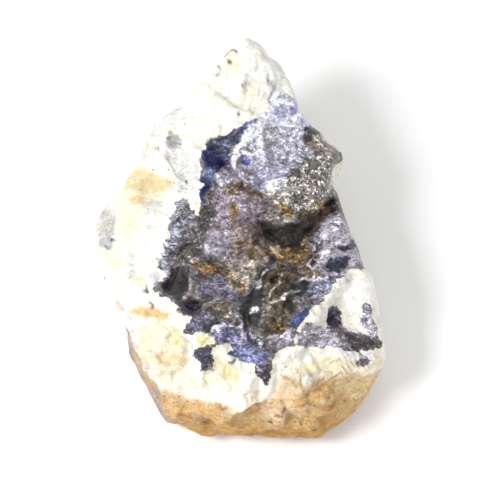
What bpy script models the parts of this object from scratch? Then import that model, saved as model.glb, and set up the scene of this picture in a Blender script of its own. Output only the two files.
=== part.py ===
"""A rough cancrinite hand specimen, lying on its back on a small flat spot.

The stone is one broken piece of rock: cream matrix, a dark blue-violet glassy mass that shows in
its broken face, and a tan weathered rind along one end.

It is worked out in the frame of that broken face, in millimetres: across the face (+X), along it
towards the pointed tip, and out of it. Points on a grid of directions are pushed out from a point
inside the stone until each meets the nearest of the stone's rough planes. Ledges, hollows and
bulges are then raised on the broken face, and chips are broken out of every side.
"""

import itertools
import math

import bpy
import numpy as np

MM = 0.001  # metres in a millimetre

# The broken face leans this far from lying level, its near end down.
FACE_LEAN = math.radians(20)

# Cells of the grid across, along and through the stone, and the half sizes that it is stretched to.
GRID_CELLS = (30, 42, 14)
GRID_HALF_SIZE = (31.0, 43.0, 17.0)
INSIDE_POINT = (0.0, 2.0, 15.0)
FURTHEST = 64.0
HALVINGS = 24

# Where the middle of the stone's box is, on the ground, before the origin is put there.
BOX_MIDDLE = (-0.07, -0.75)

# The outline of the stone, seen square to its broken face, clockwise from the tip.
OUTLINE = (
    (1.5, 47.6), (3.9, 46.3), (5.8, 43.5), (8.2, 41.2), (10.8, 38.6), (11.6, 35.8), (12.5, 32.6),
    (14.0, 30.0), (15.3, 28.5), (16.8, 27.6), (18.1, 25.5), (20.0, 23.8), (21.1, 22.5),
    (20.9, 21.0), (19.8, 19.2), (19.8, 16.0), (20.9, 13.7), (21.7, 11.3), (22.6, 8.9),
    (23.6, 5.9), (25.2, 2.9), (25.8, 0.3), (26.7, -1.8), (28.2, -3.5), (28.8, -6.5),
    (29.7, -9.3), (30.1, -13.0), (30.7, -16.9), (31.4, -19.9), (31.4, -22.0), (30.5, -24.2),
    (29.0, -27.0), (27.1, -30.2), (24.7, -33.0), (22.6, -34.7), (20.0, -36.4), (18.5, -37.5),
    (17.6, -38.4), (12.9, -38.4), (7.5, -38.8), (3.9, -38.2), (0.0, -37.9), (-3.9, -38.2),
    (-6.5, -39.0), (-8.6, -38.4), (-10.8, -36.9), (-13.3, -35.6), (-16.1, -35.4),
    (-17.2, -33.9), (-18.9, -31.1), (-20.4, -28.1), (-21.9, -25.5), (-22.8, -22.9),
    (-24.1, -20.5), (-24.3, -17.3), (-24.3, -15.6), (-25.4, -13.4), (-27.1, -10.4),
    (-28.4, -7.6), (-29.7, -4.4), (-30.5, -0.5), (-31.4, 2.5), (-31.4, 5.9), (-30.5, 8.9),
    (-29.0, 11.1), (-26.9, 13.7), (-24.9, 15.4), (-23.4, 18.2), (-21.5, 21.4), (-20.0, 25.1),
    (-18.3, 28.3), (-15.9, 30.6), (-12.9, 33.0), (-11.6, 35.2), (-9.7, 36.9), (-7.5, 38.6),
    (-4.9, 40.3), (-3.9, 42.5), (-2.6, 44.4), (-1.1, 45.5), (0.0, 46.8),
)

# The rim, where the stone is widest: its height out of the face frame's ground, and how that
# changes across and along. The sides draw in before and behind it.
RIM_OUT = 15.2
RIM_SLOPE_ACROSS = 0.09
RIM_SLOPE_ALONG = -0.04
SIDE_TAPER = 0.30
RIM_ROUND = 5.0
OUTLINE_MARGIN = 0.1  # makes up for what the rounding of the rim takes away

# Planes of the front: the way each faces in degrees (0 is right, 90 is towards the tip), its
# reach from the middle, its height out there, and how it climbs for each millimetre inwards.
FRONT_PLANES = (
    (90, 20.0, 30.4, 0.02),  # broken face
    (90, 47.6, 17.0, 0.50),  # slope down to the tip
    (143, 27.5, 20.5, 0.55),  # upper left slope
    (180, 31.4, 22.0, 0.38),  # left lobe
    (202, 28.3, 26.0, 0.22),  # lower left block
    (14, 25.5, 23.5, 0.32),  # right slope
    (35, 29.8, 19.0, 0.52),  # upper right slope
    (270, 40.6, 16.6, 1.45),  # near wall, under the weathered rind
    (320, 40.8, 16.3, 1.50),  # near right wall, under the rind
    (202, 28.9, 16.0, 3.60),  # near left wall
)

# Planes of the underside: the way each faces on the ground (0 is +X, 90 is +Y), how far out it
# leaves the ground, and the angle that it climbs at. The shallow ones come first: what they leave
# below the ground is cut off flat, as the small spot to rest on.
UNDER_PLANES = (
    (90, 7.5, 9),
    (180, 10.5, 7),
    (0, 10.5, 7),
    (270, 15.5, 6),
    (90, 14.0, 43),  # under the tip
    (168, 19.0, 44),  # under the left lobe
    (12, 20.5, 52),  # under the right side
    (138, 18.0, 46),  # far left
    (42, 18.0, 50),  # far right
    (270, 42.5, 38),  # under the near wall
    (218, 36.0, 48),  # under the near left corner
    (322, 40.8, 45),  # under the near right corner
)

EDGE_ROUND = 0.7  # how softly two planes meet

# The dark mass stands proud of the matrix inside this outline.
DARK_MASS = (
    (4.7, 31.7), (2.1, 29.6), (-0.9, 27.8), (-4.9, 25.5), (-7.5, 24.2), (-8.8, 20.1),
    (-9.2, 14.9), (-10.8, 12.2), (-12.3, 13.4), (-14.2, 10.2), (-14.2, 7.2), (-16.6, 2.9),
    (-17.6, -1.4), (-16.8, -4.8), (-17.2, -7.0), (-13.8, -10.0), (-10.3, -12.4),
    (-11.8, -14.7), (-6.9, -15.2), (-5.6, -17.9), (-9.2, -19.9), (-8.0, -24.2),
    (-5.8, -23.3), (-5.8, -19.0), (-2.1, -17.9), (1.7, -21.0), (5.2, -26.8), (6.7, -21.6),
    (9.7, -18.8), (12.9, -17.3), (15.0, -14.1), (18.3, -10.8), (21.1, -7.0), (24.1, -2.7),
    (25.8, -0.5), (23.6, 5.1), (20.9, 12.8), (19.8, 18.8), (21.1, 22.3), (17.6, 26.6),
    (15.0, 28.7), (12.5, 32.6),
)
DARK_STEP = 1.3
DARK_EDGE = 0.9

# A flat plate of the dark mass that stands a little higher, with a step down on its right.
CENTRE_PLATE = (
    (-5.6, 19.2), (0.0, 21.4), (3.9, 18.0), (5.6, 12.8), (4.7, 7.4), (4.9, 3.1), (4.7, -0.5),
    (3.9, -2.7), (2.1, -6.5), (1.1, -8.7), (-3.2, -8.7), (-7.5, -6.5), (-9.0, -0.5),
    (-8.6, 4.2), (-7.5, 10.7),
)
PLATE_STEP = 0.9
PLATE_EDGE = 0.7

# Bulges and dips of the face: place across and along, reach across and along, and height.
BULGES = (
    (10.0, 21.0, 6.5, 8.5, 2.4),  # lavender dome
    (-26.0, 4.0, 5.5, 7.0, 1.6),  # left lobe
    (26.5, -6.0, 3.2, 4.5, 1.5),  # white cap at the right
    (-17.0, -20.0, 6.0, 6.0, 1.0),  # lower left block
    (-18.5, 16.0, 5.5, 3.0, -1.6),  # hollow under the upper left ledge
    (-16.0, 23.5, 5.0, 3.2, 1.1),  # upper left ledge
    (3.0, -26.0, 9.0, 3.5, 0.9),  # swell of the white strip
    (-2.5, 44.0, 2.2, 1.6, -1.0),  # pit beside the tip
    (16.0, -15.5, 5.0, 1.8, -0.8),  # dip of the lower right patch
    (0.5, 34.0, 5.0, 5.0, 0.9),  # swell under the tip
)

# Furrows of the face: the path of each, its half width, and its depth.
FURROWS = (
    (((4.7, 6.3), (9.7, 4.0), (14.0, 5.3), (17.6, 9.4), (21.1, 13.2)), 2.6, 2.6),
    (((21.1, 13.2), (17.2, 8.5), (13.4, 3.8)), 1.0, 1.0),
    (((-25.0, -8.0), (-20.4, -10.4), (-17.2, -11.7), (-13.8, -13.4)), 1.5, 1.5),
    (((4.9, 2.0), (4.2, -3.0), (2.2, -7.0), (1.2, -14.0)), 1.1, 0.9),
    (((7.0, -29.5), (13.0, -30.5), (20.0, -28.5), (26.0, -27.0)), 1.3, 0.9),
    (((-12.0, -33.0), (-2.0, -34.5), (8.0, -34.8), (17.0, -33.5)), 1.0, 0.6),
)

# Chips: the size of the pieces broken out, how far each leans, its step, and a seed.
CHIPS = (
    (12.0, 0.26, 0.8, 11),
    (6.0, 0.24, 0.4, 23),
)
CHIP_SHARPNESS = 14.0
RIM_CHIPS = 0.1  # share of the chips' height that is left at the rim, within about RIM_BAND of it
RIM_BAND = 7.0
LUMP_SIZE = 7.0
LUMP_HEIGHT = 0.45

FLOOR_FADE = 3.0  # chips fade out below this height, so that only the flat spot reaches the ground
FACING_START = 0.15  # relief starts where the surface turns this much towards the front
FACING_FULL = 0.55

# Colour regions of the face, for the plain materials.
RIND_EDGE = (
    (-23.0, -18.4), (-18.1, -27.6), (-12.9, -29.6), (-5.4, -31.1), (2.1, -32.3), (9.7, -29.3),
    (17.2, -27.6), (25.8, -25.5), (31.2, -22.0),
)
DARK_DEPTH = 6.0  # the dark colour stops this far behind the rim

MATRIX_COLOUR = (0.86, 0.84, 0.77, 1.0)
DARK_COLOUR = (0.09, 0.085, 0.12, 1.0)
RIND_COLOUR = (0.56, 0.38, 0.17, 1.0)


def smooth_step(start, end, values):
    """Zero below start, one above end, and an S curve between."""
    share = np.clip((values - start) / (end - start), 0.0, 1.0)
    return share * share * (3.0 - 2.0 * share)


def cell_number(cells, seed):
    """A repeatable number from 0 to 1 for each whole-number cell, by mixing its three counts."""
    x, y, z = (cells[..., axis].astype(np.int64).astype(np.uint32) for axis in range(3))
    mixed = x * np.uint32(374761393) + y * np.uint32(668265263) + z * np.uint32(2246822519)
    mixed = mixed + np.uint32(seed * 3266489917 % 2**32)
    mixed = (mixed ^ (mixed >> np.uint32(15))) * np.uint32(2246822519)
    mixed = (mixed ^ (mixed >> np.uint32(13))) * np.uint32(3266489917)
    mixed = mixed ^ (mixed >> np.uint32(16))
    return mixed / 2.0**32


def lumps(points, size, seed):
    """Soft lumps from -1 to 1: numbers at the corners of cells of this size, blended smoothly."""
    cells = np.floor(points / size)
    share = points / size - cells
    share = share * share * (3.0 - 2.0 * share)
    height = np.zeros(len(points))
    for corner in itertools.product((0, 1), repeat=3):
        weight = np.prod(np.where(corner, share, 1.0 - share), axis=1)
        height += weight * cell_number(cells + corner, seed)
    return 2.0 * height - 1.0


def chips(points, size, lean, step, seed):
    """Chips: many scattered seeds each have a tilted plane, and each point takes the plane of the
    nearest, blended into the next one over a short way."""
    cells = np.floor(points / size)
    total = np.zeros(len(points))
    height = np.zeros(len(points))
    for offset in itertools.product((-1, 0, 1), repeat=3):
        cell = cells + offset
        jitter = np.stack([cell_number(cell, seed + axis) for axis in range(3)], axis=1)
        tilt = np.stack([cell_number(cell, seed + 3 + axis) for axis in range(3)], axis=1)
        gap = points - (cell + jitter) * size
        distance = (gap * gap).sum(axis=1) / size**2
        plane = lean * (gap * (2.0 * tilt - 1.0)).sum(axis=1)
        plane += step * (2.0 * cell_number(cell, seed + 6) - 1.0)
        weight = np.exp(-CHIP_SHARPNESS * distance)
        total += weight
        height += weight * plane
    return height / total


def distance_to_path(across, along, path):
    """Distance to the nearest of a path's straight runs."""
    nearest = np.full(across.shape, np.inf)
    for (x0, y0), (x1, y1) in itertools.pairwise(path):
        run = (x1 - x0, y1 - y0)
        share = ((across - x0) * run[0] + (along - y0) * run[1]) / (run[0] ** 2 + run[1] ** 2)
        share = np.clip(share, 0.0, 1.0)
        gap = np.hypot(across - x0 - share * run[0], along - y0 - share * run[1])
        nearest = np.minimum(nearest, gap)
    return nearest


def distance_outside(across, along, outline):
    """Distance to a closed outline, negative inside it."""
    inside = np.zeros(across.shape, bool)
    closed = outline + outline[:1]
    for (x0, y0), (x1, y1) in itertools.pairwise(closed):
        crosses = (y0 > along) != (y1 > along)
        edge = x0 + (along - y0) * (x1 - x0) / ((y1 - y0) or 1.0)
        inside ^= crosses & (across < edge)
    distance = distance_to_path(across, along, closed)
    return np.where(inside, -distance, distance)


def outline_reach(across, along):
    """How far the outline is from the inside point's place, in the direction of each point."""
    corners = np.array(OUTLINE) - INSIDE_POINT[:2]
    angles = np.arctan2(corners[:, 1], corners[:, 0])
    reaches = np.hypot(corners[:, 0], corners[:, 1])
    order = np.argsort(angles)
    heading = np.arctan2(along - INSIDE_POINT[1], across - INSIDE_POINT[0])
    return np.interp(heading, angles[order], reaches[order], period=2.0 * math.pi)


def ground_axes(points):
    """Turns face-frame points (across, along, out) into the ground's frame, X, Y and up."""
    across, along, out = points.T
    y = along * math.cos(FACE_LEAN) - out * math.sin(FACE_LEAN)
    up = along * math.sin(FACE_LEAN) + out * math.cos(FACE_LEAN)
    return np.stack([across, y, up], axis=1)


def rim_height(across, along):
    """How far out of the face frame's ground the rim is."""
    return RIM_OUT + RIM_SLOPE_ACROSS * across + RIM_SLOPE_ALONG * along


def height_outside(points):
    """How far points are outside the stone: the greatest of its sides' and its planes' distances,
    with their meetings softened by a log of summed exponentials."""
    across, along, out = points.T
    x, y, up = ground_axes(points).T
    taper = SIDE_TAPER * (np.hypot(out - rim_height(across, along), RIM_ROUND) - RIM_ROUND)
    sideways = np.hypot(across - INSIDE_POINT[0], along - INSIDE_POINT[1])
    heights = [sideways - outline_reach(across, along) - OUTLINE_MARGIN + taper]
    for heading, reach, level, climb in FRONT_PLANES:
        angle = math.radians(heading)
        inwards = reach - across * math.cos(angle) - along * math.sin(angle)
        heights.append((out - level - climb * inwards) / math.hypot(1.0, climb))
    for heading, foot, climb in UNDER_PLANES:
        angle = math.radians(heading)
        outwards = x * math.cos(angle) + y * math.sin(angle) - foot
        heights.append(outwards * math.sin(math.radians(climb)) - up * math.cos(math.radians(climb)))
    heights = np.array(heights)
    highest = heights.max(axis=0)
    return highest + EDGE_ROUND * np.log(np.exp((heights - highest) / EDGE_ROUND).sum(axis=0))


def box_grid(counts):
    """The points on the outside of a box of whole-number cells, and the quads that join them."""
    sides = []
    for axis in range(3):
        first, second = (axis + 1) % 3, (axis + 2) % 3
        a, b = np.meshgrid(
            np.arange(counts[first] + 1), np.arange(counts[second] + 1), indexing="ij"
        )
        for level in (0, counts[axis]):
            side = np.zeros(a.shape + (3,), int)
            side[..., axis] = level
            side[..., first] = a
            side[..., second] = b
            sides.append(side if level else side[::-1])
    corners = np.concatenate([side.reshape(-1, 3) for side in sides])
    lattice, index = np.unique(corners, axis=0, return_inverse=True)
    quads = []
    start = 0
    for side in sides:
        count = side.shape[0] * side.shape[1]
        ids = index.ravel()[start:start + count].reshape(side.shape[:2])
        quad = np.stack([ids[:-1, :-1], ids[1:, :-1], ids[1:, 1:], ids[:-1, 1:]], axis=-1)
        quads.append(quad.reshape(-1, 4))
        start += count
    return lattice, np.concatenate(quads)


def grid_directions(lattice):
    """Unit directions through the points of a box grid, spaced evenly by angle."""
    spread = np.tan((lattice / np.array(GRID_CELLS) * 2.0 - 1.0) * math.pi / 4.0)
    directions = spread * np.array(GRID_HALF_SIZE)
    return directions / np.linalg.norm(directions, axis=1, keepdims=True)


def push_out(directions):
    """The point where each direction leaves the stone, found by halving."""
    near = np.zeros(len(directions))
    far = np.full(len(directions), FURTHEST)
    for _ in range(HALVINGS):
        middle = (near + far) / 2.0
        inside = height_outside(INSIDE_POINT + directions * middle[:, None]) < 0.0
        near = np.where(inside, middle, near)
        far = np.where(inside, far, middle)
    return INSIDE_POINT + directions * near[:, None]


def outward(points):
    """The unit direction in which the distance outside grows fastest, by small differences."""
    reach = 0.05
    slopes = [
        height_outside(points + step) - height_outside(points - step)
        for step in np.eye(3) * reach
    ]
    normals = np.stack(slopes, axis=1)
    return normals / np.linalg.norm(normals, axis=1, keepdims=True)


def face_relief(across, along):
    """Height of the broken face's ledges, bulges and furrows, in millimetres outwards."""
    dark = distance_outside(across, along, DARK_MASS)
    plate = distance_outside(across, along, CENTRE_PLATE)
    height = DARK_STEP * smooth_step(DARK_EDGE, -DARK_EDGE, dark)
    height += PLATE_STEP * smooth_step(PLATE_EDGE, -PLATE_EDGE, plate)
    for x, y, reach_across, reach_along, rise in BULGES:
        gap = ((across - x) / reach_across) ** 2 + ((along - y) / reach_along) ** 2
        height += rise * np.exp(-gap)
    for path, half_width, depth in FURROWS:
        gap = distance_to_path(across, along, path) / half_width
        height -= depth * np.exp(-gap * gap)
    return height


def stone_points(lattice):
    """The stone's surface: the planes, then chips along the normal, then relief on the face."""
    points = push_out(grid_directions(lattice))
    normals = outward(points)
    up = ground_axes(points)[:, 2]
    above_floor = smooth_step(0.0, FLOOR_FADE, up)
    roughness = LUMP_HEIGHT * lumps(points, LUMP_SIZE, 5)
    for size, lean, step, seed in CHIPS:
        roughness += chips(points, size, lean, step, seed)
    from_rim = (points[:, 2] - rim_height(points[:, 0], points[:, 1])) / RIM_BAND
    roughness *= 1.0 - (1.0 - RIM_CHIPS) * np.exp(-from_rim * from_rim)
    facing = smooth_step(FACING_START, FACING_FULL, normals[:, 2])
    relief = facing * face_relief(points[:, 0], points[:, 1])
    points = points + normals * (roughness * above_floor)[:, None]
    points[:, 2] += relief * above_floor
    ground = ground_axes(points)
    ground[:, 2] = np.maximum(ground[:, 2], 0.0)
    ground[:, :2] -= BOX_MIDDLE
    return ground


def region_numbers(points):
    """Which material each place takes: 0 matrix, 1 dark mass, 2 weathered rind."""
    across, along, out = points.T
    dark = distance_outside(across, along, DARK_MASS) < 0.0
    dark &= out > rim_height(across, along) - DARK_DEPTH
    edge_along = np.interp(across, *np.array(RIND_EDGE).T)
    rind = along < edge_along
    return np.where(rind, 2, np.where(dark, 1, 0))


def stone_material(name, colour, roughness):
    """A Principled material of one colour."""
    material = bpy.data.materials.new(name)
    material.use_nodes = True
    shader = material.node_tree.nodes["Principled BSDF"]
    shader.inputs["Base Color"].default_value = colour
    shader.inputs["Roughness"].default_value = roughness
    shader.inputs["Metallic"].default_value = 0.0
    material.diffuse_color = colour
    return material


def face_axes(ground):
    """Turns points of the finished stone back into the face frame."""
    x, y, up = (ground + np.array((*BOX_MIDDLE, 0.0))).T
    along = y * math.cos(FACE_LEAN) + up * math.sin(FACE_LEAN)
    out = up * math.cos(FACE_LEAN) - y * math.sin(FACE_LEAN)
    return np.stack([x, along, out], axis=1)


def build_stone():
    """Makes the stone as one closed mesh object with its three plain materials."""
    lattice, quads = box_grid(GRID_CELLS)
    points = stone_points(lattice)
    mesh = bpy.data.meshes.new("cancrinite_stone")
    mesh.from_pydata((points * MM).tolist(), [], quads.tolist())
    mesh.materials.append(stone_material("matrix", MATRIX_COLOUR, 0.65))
    mesh.materials.append(stone_material("dark_mass", DARK_COLOUR, 0.35))
    mesh.materials.append(stone_material("weathered_rind", RIND_COLOUR, 0.85))
    middles = face_axes(points[quads].mean(axis=1))
    mesh.polygons.foreach_set("material_index", region_numbers(middles).astype(np.int32))
    mesh.update()
    stone = bpy.data.objects.new("cancrinite_stone", mesh)
    bpy.context.collection.objects.link(stone)
    return stone


for old in list(bpy.data.objects):
    bpy.data.objects.remove(old, do_unlink=True)
build_stone()
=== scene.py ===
# %% [markdown]
# # A rough cancrinite, grown from planes and painted by place
# This lesson dresses one stone: a hand specimen of rough cancrinite, lying on its back. The solid
# model of it is loaded first, as a fixed frame. Everything made here keeps its size and its place.
# The frame is in metres, with +Z up and the ground at zero.

# %% Load the solid model
import itertools
import math

import bpy
import numpy as np
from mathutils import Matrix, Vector


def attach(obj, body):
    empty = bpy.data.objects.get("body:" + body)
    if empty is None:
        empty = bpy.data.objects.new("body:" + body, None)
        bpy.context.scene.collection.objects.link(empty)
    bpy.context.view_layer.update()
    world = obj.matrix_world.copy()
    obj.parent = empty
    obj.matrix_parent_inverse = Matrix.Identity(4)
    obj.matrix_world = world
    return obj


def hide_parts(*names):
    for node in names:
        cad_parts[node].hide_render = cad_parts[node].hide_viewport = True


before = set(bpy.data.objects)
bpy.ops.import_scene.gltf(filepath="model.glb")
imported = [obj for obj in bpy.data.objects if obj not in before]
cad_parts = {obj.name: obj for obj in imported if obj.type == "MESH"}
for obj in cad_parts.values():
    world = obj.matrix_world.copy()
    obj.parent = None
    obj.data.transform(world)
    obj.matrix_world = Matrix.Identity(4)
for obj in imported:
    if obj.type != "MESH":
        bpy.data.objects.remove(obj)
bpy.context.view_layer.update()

# %% [markdown]
# ## The frame of the broken face
# The real stone broke along one rough face, and the photograph looks square at it. So shapes and
# colours are easiest to place in that face's own frame, in millimetres: across, along towards the
# tip, and out of the face. The face leans down at its near end, so one turn about X leads from
# this frame to the ground's frame.

# %% Measures of the stone
MM = 0.001
FACE_LEAN = math.radians(20)
BOX_MIDDLE = (-0.07, -0.75)  # where the middle of the stone's box is, before the origin goes there
INSIDE_POINT = (0.0, 2.0, 15.0)


def ground_axes(points):
    """Face-frame points turned about X by the lean, into the ground's X, Y and up."""
    across, along, out = points.T
    y = along * math.cos(FACE_LEAN) - out * math.sin(FACE_LEAN)
    up = along * math.sin(FACE_LEAN) + out * math.cos(FACE_LEAN)
    return np.stack([across, y, up], axis=1)


# The outline of the stone, seen square to its broken face, clockwise from the tip.
OUTLINE = (
    (1.5, 47.6), (3.9, 46.3), (5.8, 43.5), (8.2, 41.2), (10.8, 38.6), (11.6, 35.8), (12.5, 32.6),
    (14.0, 30.0), (15.3, 28.5), (16.8, 27.6), (18.1, 25.5), (20.0, 23.8), (21.1, 22.5),
    (20.9, 21.0), (19.8, 19.2), (19.8, 16.0), (20.9, 13.7), (21.7, 11.3), (22.6, 8.9),
    (23.6, 5.9), (25.2, 2.9), (25.8, 0.3), (26.7, -1.8), (28.2, -3.5), (28.8, -6.5),
    (29.7, -9.3), (30.1, -13.0), (30.7, -16.9), (31.4, -19.9), (31.4, -22.0), (30.5, -24.2),
    (29.0, -27.0), (27.1, -30.2), (24.7, -33.0), (22.6, -34.7), (20.0, -36.4), (18.5, -37.5),
    (17.6, -38.4), (12.9, -38.4), (7.5, -38.8), (3.9, -38.2), (0.0, -37.9), (-3.9, -38.2),
    (-6.5, -39.0), (-8.6, -38.4), (-10.8, -36.9), (-13.3, -35.6), (-16.1, -35.4),
    (-17.2, -33.9), (-18.9, -31.1), (-20.4, -28.1), (-21.9, -25.5), (-22.8, -22.9),
    (-24.1, -20.5), (-24.3, -17.3), (-24.3, -15.6), (-25.4, -13.4), (-27.1, -10.4),
    (-28.4, -7.6), (-29.7, -4.4), (-30.5, -0.5), (-31.4, 2.5), (-31.4, 5.9), (-30.5, 8.9),
    (-29.0, 11.1), (-26.9, 13.7), (-24.9, 15.4), (-23.4, 18.2), (-21.5, 21.4), (-20.0, 25.1),
    (-18.3, 28.3), (-15.9, 30.6), (-12.9, 33.0), (-11.6, 35.2), (-9.7, 36.9), (-7.5, 38.6),
    (-4.9, 40.3), (-3.9, 42.5), (-2.6, 44.4), (-1.1, 45.5), (0.0, 46.8),
)
print(len(OUTLINE), "points in the outline")

# %% [markdown]
# ## Repeatable randomness
# A rock needs thousands of small irregular numbers, and a lesson needs the same rock each time.
# A random generator would depend on the order of the draws. Instead each whole-number cell of
# space is mixed into one number of its own, so that any point can ask for it at any time. From
# such numbers come soft lumps (value noise) and flat chips (cells of tilted planes).

# %% Noise from cell numbers
def smooth_step(start, end, values):
    """Zero at start, one at end, and the S curve 3s^2 - 2s^3 of the share s between them."""
    share = np.clip((values - start) / (end - start), 0.0, 1.0)
    return share * share * (3.0 - 2.0 * share)


def cell_number(cells, seed):
    """A repeatable number from 0 to 1 for each whole-number cell, by mixing its three counts."""
    x, y, z = (cells[..., axis].astype(np.int64).astype(np.uint32) for axis in range(3))
    mixed = x * np.uint32(374761393) + y * np.uint32(668265263) + z * np.uint32(2246822519)
    mixed = mixed + np.uint32(seed * 3266489917 % 2**32)
    mixed = (mixed ^ (mixed >> np.uint32(15))) * np.uint32(2246822519)
    mixed = (mixed ^ (mixed >> np.uint32(13))) * np.uint32(3266489917)
    mixed = mixed ^ (mixed >> np.uint32(16))
    return mixed / 2.0**32


def lumps(points, size, seed):
    """Soft lumps from -1 to 1: numbers at the corners of cells of this size, blended smoothly."""
    cells = np.floor(points / size)
    share = points / size - cells
    share = share * share * (3.0 - 2.0 * share)
    height = np.zeros(len(points))
    for corner in itertools.product((0, 1), repeat=3):
        weight = np.prod(np.where(corner, share, 1.0 - share), axis=1)
        height += weight * cell_number(cells + corner, seed)
    return 2.0 * height - 1.0


def layered_lumps(points, size, layers, seed):
    """A sum of lumps, each layer half the size and half the height of the one before."""
    height = np.zeros(len(points))
    for layer in range(layers):
        height += lumps(points, size / 2**layer, seed + layer) / 2**layer
    return height


def chips(points, size, lean, step, sharpness, seed):
    """Chips: many scattered seeds each have a tilted plane, and each point takes the plane of the
    nearest, blended into the next one over a way that shrinks as sharpness grows."""
    cells = np.floor(points / size)
    total = np.zeros(len(points))
    height = np.zeros(len(points))
    for offset in itertools.product((-1, 0, 1), repeat=3):
        cell = cells + offset
        jitter = np.stack([cell_number(cell, seed + axis) for axis in range(3)], axis=1)
        tilt = np.stack([cell_number(cell, seed + 3 + axis) for axis in range(3)], axis=1)
        gap = points - (cell + jitter) * size
        distance = (gap * gap).sum(axis=1) / size**2
        plane = lean * (gap * (2.0 * tilt - 1.0)).sum(axis=1)
        plane += step * (2.0 * cell_number(cell, seed + 6) - 1.0)
        weight = np.exp(-sharpness * distance)
        total += weight
        height += weight * plane
    return height / total


test_points = np.array([[0.0, 0.0, 0.0], [3.0, 1.0, 2.0], [9.5, 4.0, 7.0]])
print("lumps at three places:", np.round(lumps(test_points, 7.0, 5), 3))

# %% [markdown]
# ## Distances in the plane of the face
# Ledges, furrows and colours all follow lines drawn on the face. Two small functions answer how
# far any point is from a path, and how far it is inside or outside a closed outline. With whole
# arrays, the loop is over the few runs of the line and never over the many points.

# %% Distance to a path and to an outline
def distance_to_path(across, along, path):
    """Distance to the nearest of a path's straight runs: the gap to the point of the run where a
    square dropped from here would land, kept between the run's two ends."""
    nearest = np.full(across.shape, np.inf)
    for (x0, y0), (x1, y1) in itertools.pairwise(path):
        run = (x1 - x0, y1 - y0)
        share = ((across - x0) * run[0] + (along - y0) * run[1]) / (run[0] ** 2 + run[1] ** 2)
        share = np.clip(share, 0.0, 1.0)
        gap = np.hypot(across - x0 - share * run[0], along - y0 - share * run[1])
        nearest = np.minimum(nearest, gap)
    return nearest


def distance_outside(across, along, outline):
    """Distance to a closed outline, negative inside it, where a level ray crosses it an odd
    number of times."""
    inside = np.zeros(across.shape, bool)
    closed = outline + outline[:1]
    for (x0, y0), (x1, y1) in itertools.pairwise(closed):
        crosses = (y0 > along) != (y1 > along)
        edge = x0 + (along - y0) * (x1 - x0) / ((y1 - y0) or 1.0)
        inside ^= crosses & (across < edge)
    distance = distance_to_path(across, along, closed)
    return np.where(inside, -distance, distance)


# %% [markdown]
# ## The rough planes
# A broken stone is a bundle of rough planes with worn edges. Sculpting it by hand would look
# right from one side only, and a sphere pushed about by noise stays a potato. So the stone is the
# space inside a few planes and inside its own outline. The greatest of all the distances says how
# far outside a point is, and a soft maximum rounds the edges between planes. What the lowest
# planes leave below the ground is cut off flat: that is the small spot that the stone rests on.

# %% Planes of the front and of the underside
RIM_OUT = 15.2
RIM_SLOPE_ACROSS = 0.09
RIM_SLOPE_ALONG = -0.04
SIDE_TAPER = 0.30
RIM_ROUND = 5.0
OUTLINE_MARGIN = 0.1
EDGE_ROUND = 0.7

# The way each faces in degrees (0 is right, 90 is towards the tip), its reach from the middle,
# its height out there, and how it climbs for each millimetre inwards.
FRONT_PLANES = (
    (90, 20.0, 30.4, 0.02),  # broken face
    (90, 47.6, 17.0, 0.50),  # slope down to the tip
    (143, 27.5, 20.5, 0.55),  # upper left slope
    (180, 31.4, 22.0, 0.38),  # left lobe
    (202, 28.3, 26.0, 0.22),  # lower left block
    (14, 25.5, 23.5, 0.32),  # right slope
    (35, 29.8, 19.0, 0.52),  # upper right slope
    (270, 40.6, 16.6, 1.45),  # near wall, under the weathered rind
    (320, 40.8, 16.3, 1.50),  # near right wall, under the rind
    (202, 28.9, 16.0, 3.60),  # near left wall
)

# The way each faces on the ground (0 is +X, 90 is +Y), how far out it leaves the ground, and the
# angle that it climbs at.
UNDER_PLANES = (
    (90, 7.5, 9),
    (180, 10.5, 7),
    (0, 10.5, 7),
    (270, 15.5, 6),
    (90, 14.0, 43),  # under the tip
    (168, 19.0, 44),  # under the left lobe
    (12, 20.5, 52),  # under the right side
    (138, 18.0, 46),  # far left
    (42, 18.0, 50),  # far right
    (270, 42.5, 38),  # under the near wall
    (218, 36.0, 48),  # under the near left corner
    (322, 40.8, 45),  # under the near right corner
)


def rim_height(across, along):
    """How far out the rim is, where the stone is widest: one plane, low on the left."""
    return RIM_OUT + RIM_SLOPE_ACROSS * across + RIM_SLOPE_ALONG * along


def outline_reach(across, along):
    """How far the outline is from the inside point's place, in the direction of each point."""
    corners = np.array(OUTLINE) - INSIDE_POINT[:2]
    angles = np.arctan2(corners[:, 1], corners[:, 0])
    reaches = np.hypot(corners[:, 0], corners[:, 1])
    order = np.argsort(angles)
    heading = np.arctan2(along - INSIDE_POINT[1], across - INSIDE_POINT[0])
    return np.interp(heading, angles[order], reaches[order], period=2.0 * math.pi)


def height_outside(points):
    """How far points are outside the stone: the greatest of its sides' and its planes' distances,
    softened by a log of summed exponentials. The sides draw in before and behind the rim along a
    hyperbola."""
    across, along, out = points.T
    x, y, up = ground_axes(points).T
    taper = SIDE_TAPER * (np.hypot(out - rim_height(across, along), RIM_ROUND) - RIM_ROUND)
    sideways = np.hypot(across - INSIDE_POINT[0], along - INSIDE_POINT[1])
    heights = [sideways - outline_reach(across, along) - OUTLINE_MARGIN + taper]
    for heading, reach, level, climb in FRONT_PLANES:
        angle = math.radians(heading)
        inwards = reach - across * math.cos(angle) - along * math.sin(angle)
        heights.append((out - level - climb * inwards) / math.hypot(1.0, climb))
    for heading, foot, climb in UNDER_PLANES:
        angle, rise = math.radians(heading), math.radians(climb)
        outwards = x * math.cos(angle) + y * math.sin(angle) - foot
        heights.append(outwards * math.sin(rise) - up * math.cos(rise))
    heights = np.array(heights)
    highest = heights.max(axis=0)
    return highest + EDGE_ROUND * np.log(np.exp((heights - highest) / EDGE_ROUND).sum(axis=0))


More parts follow.
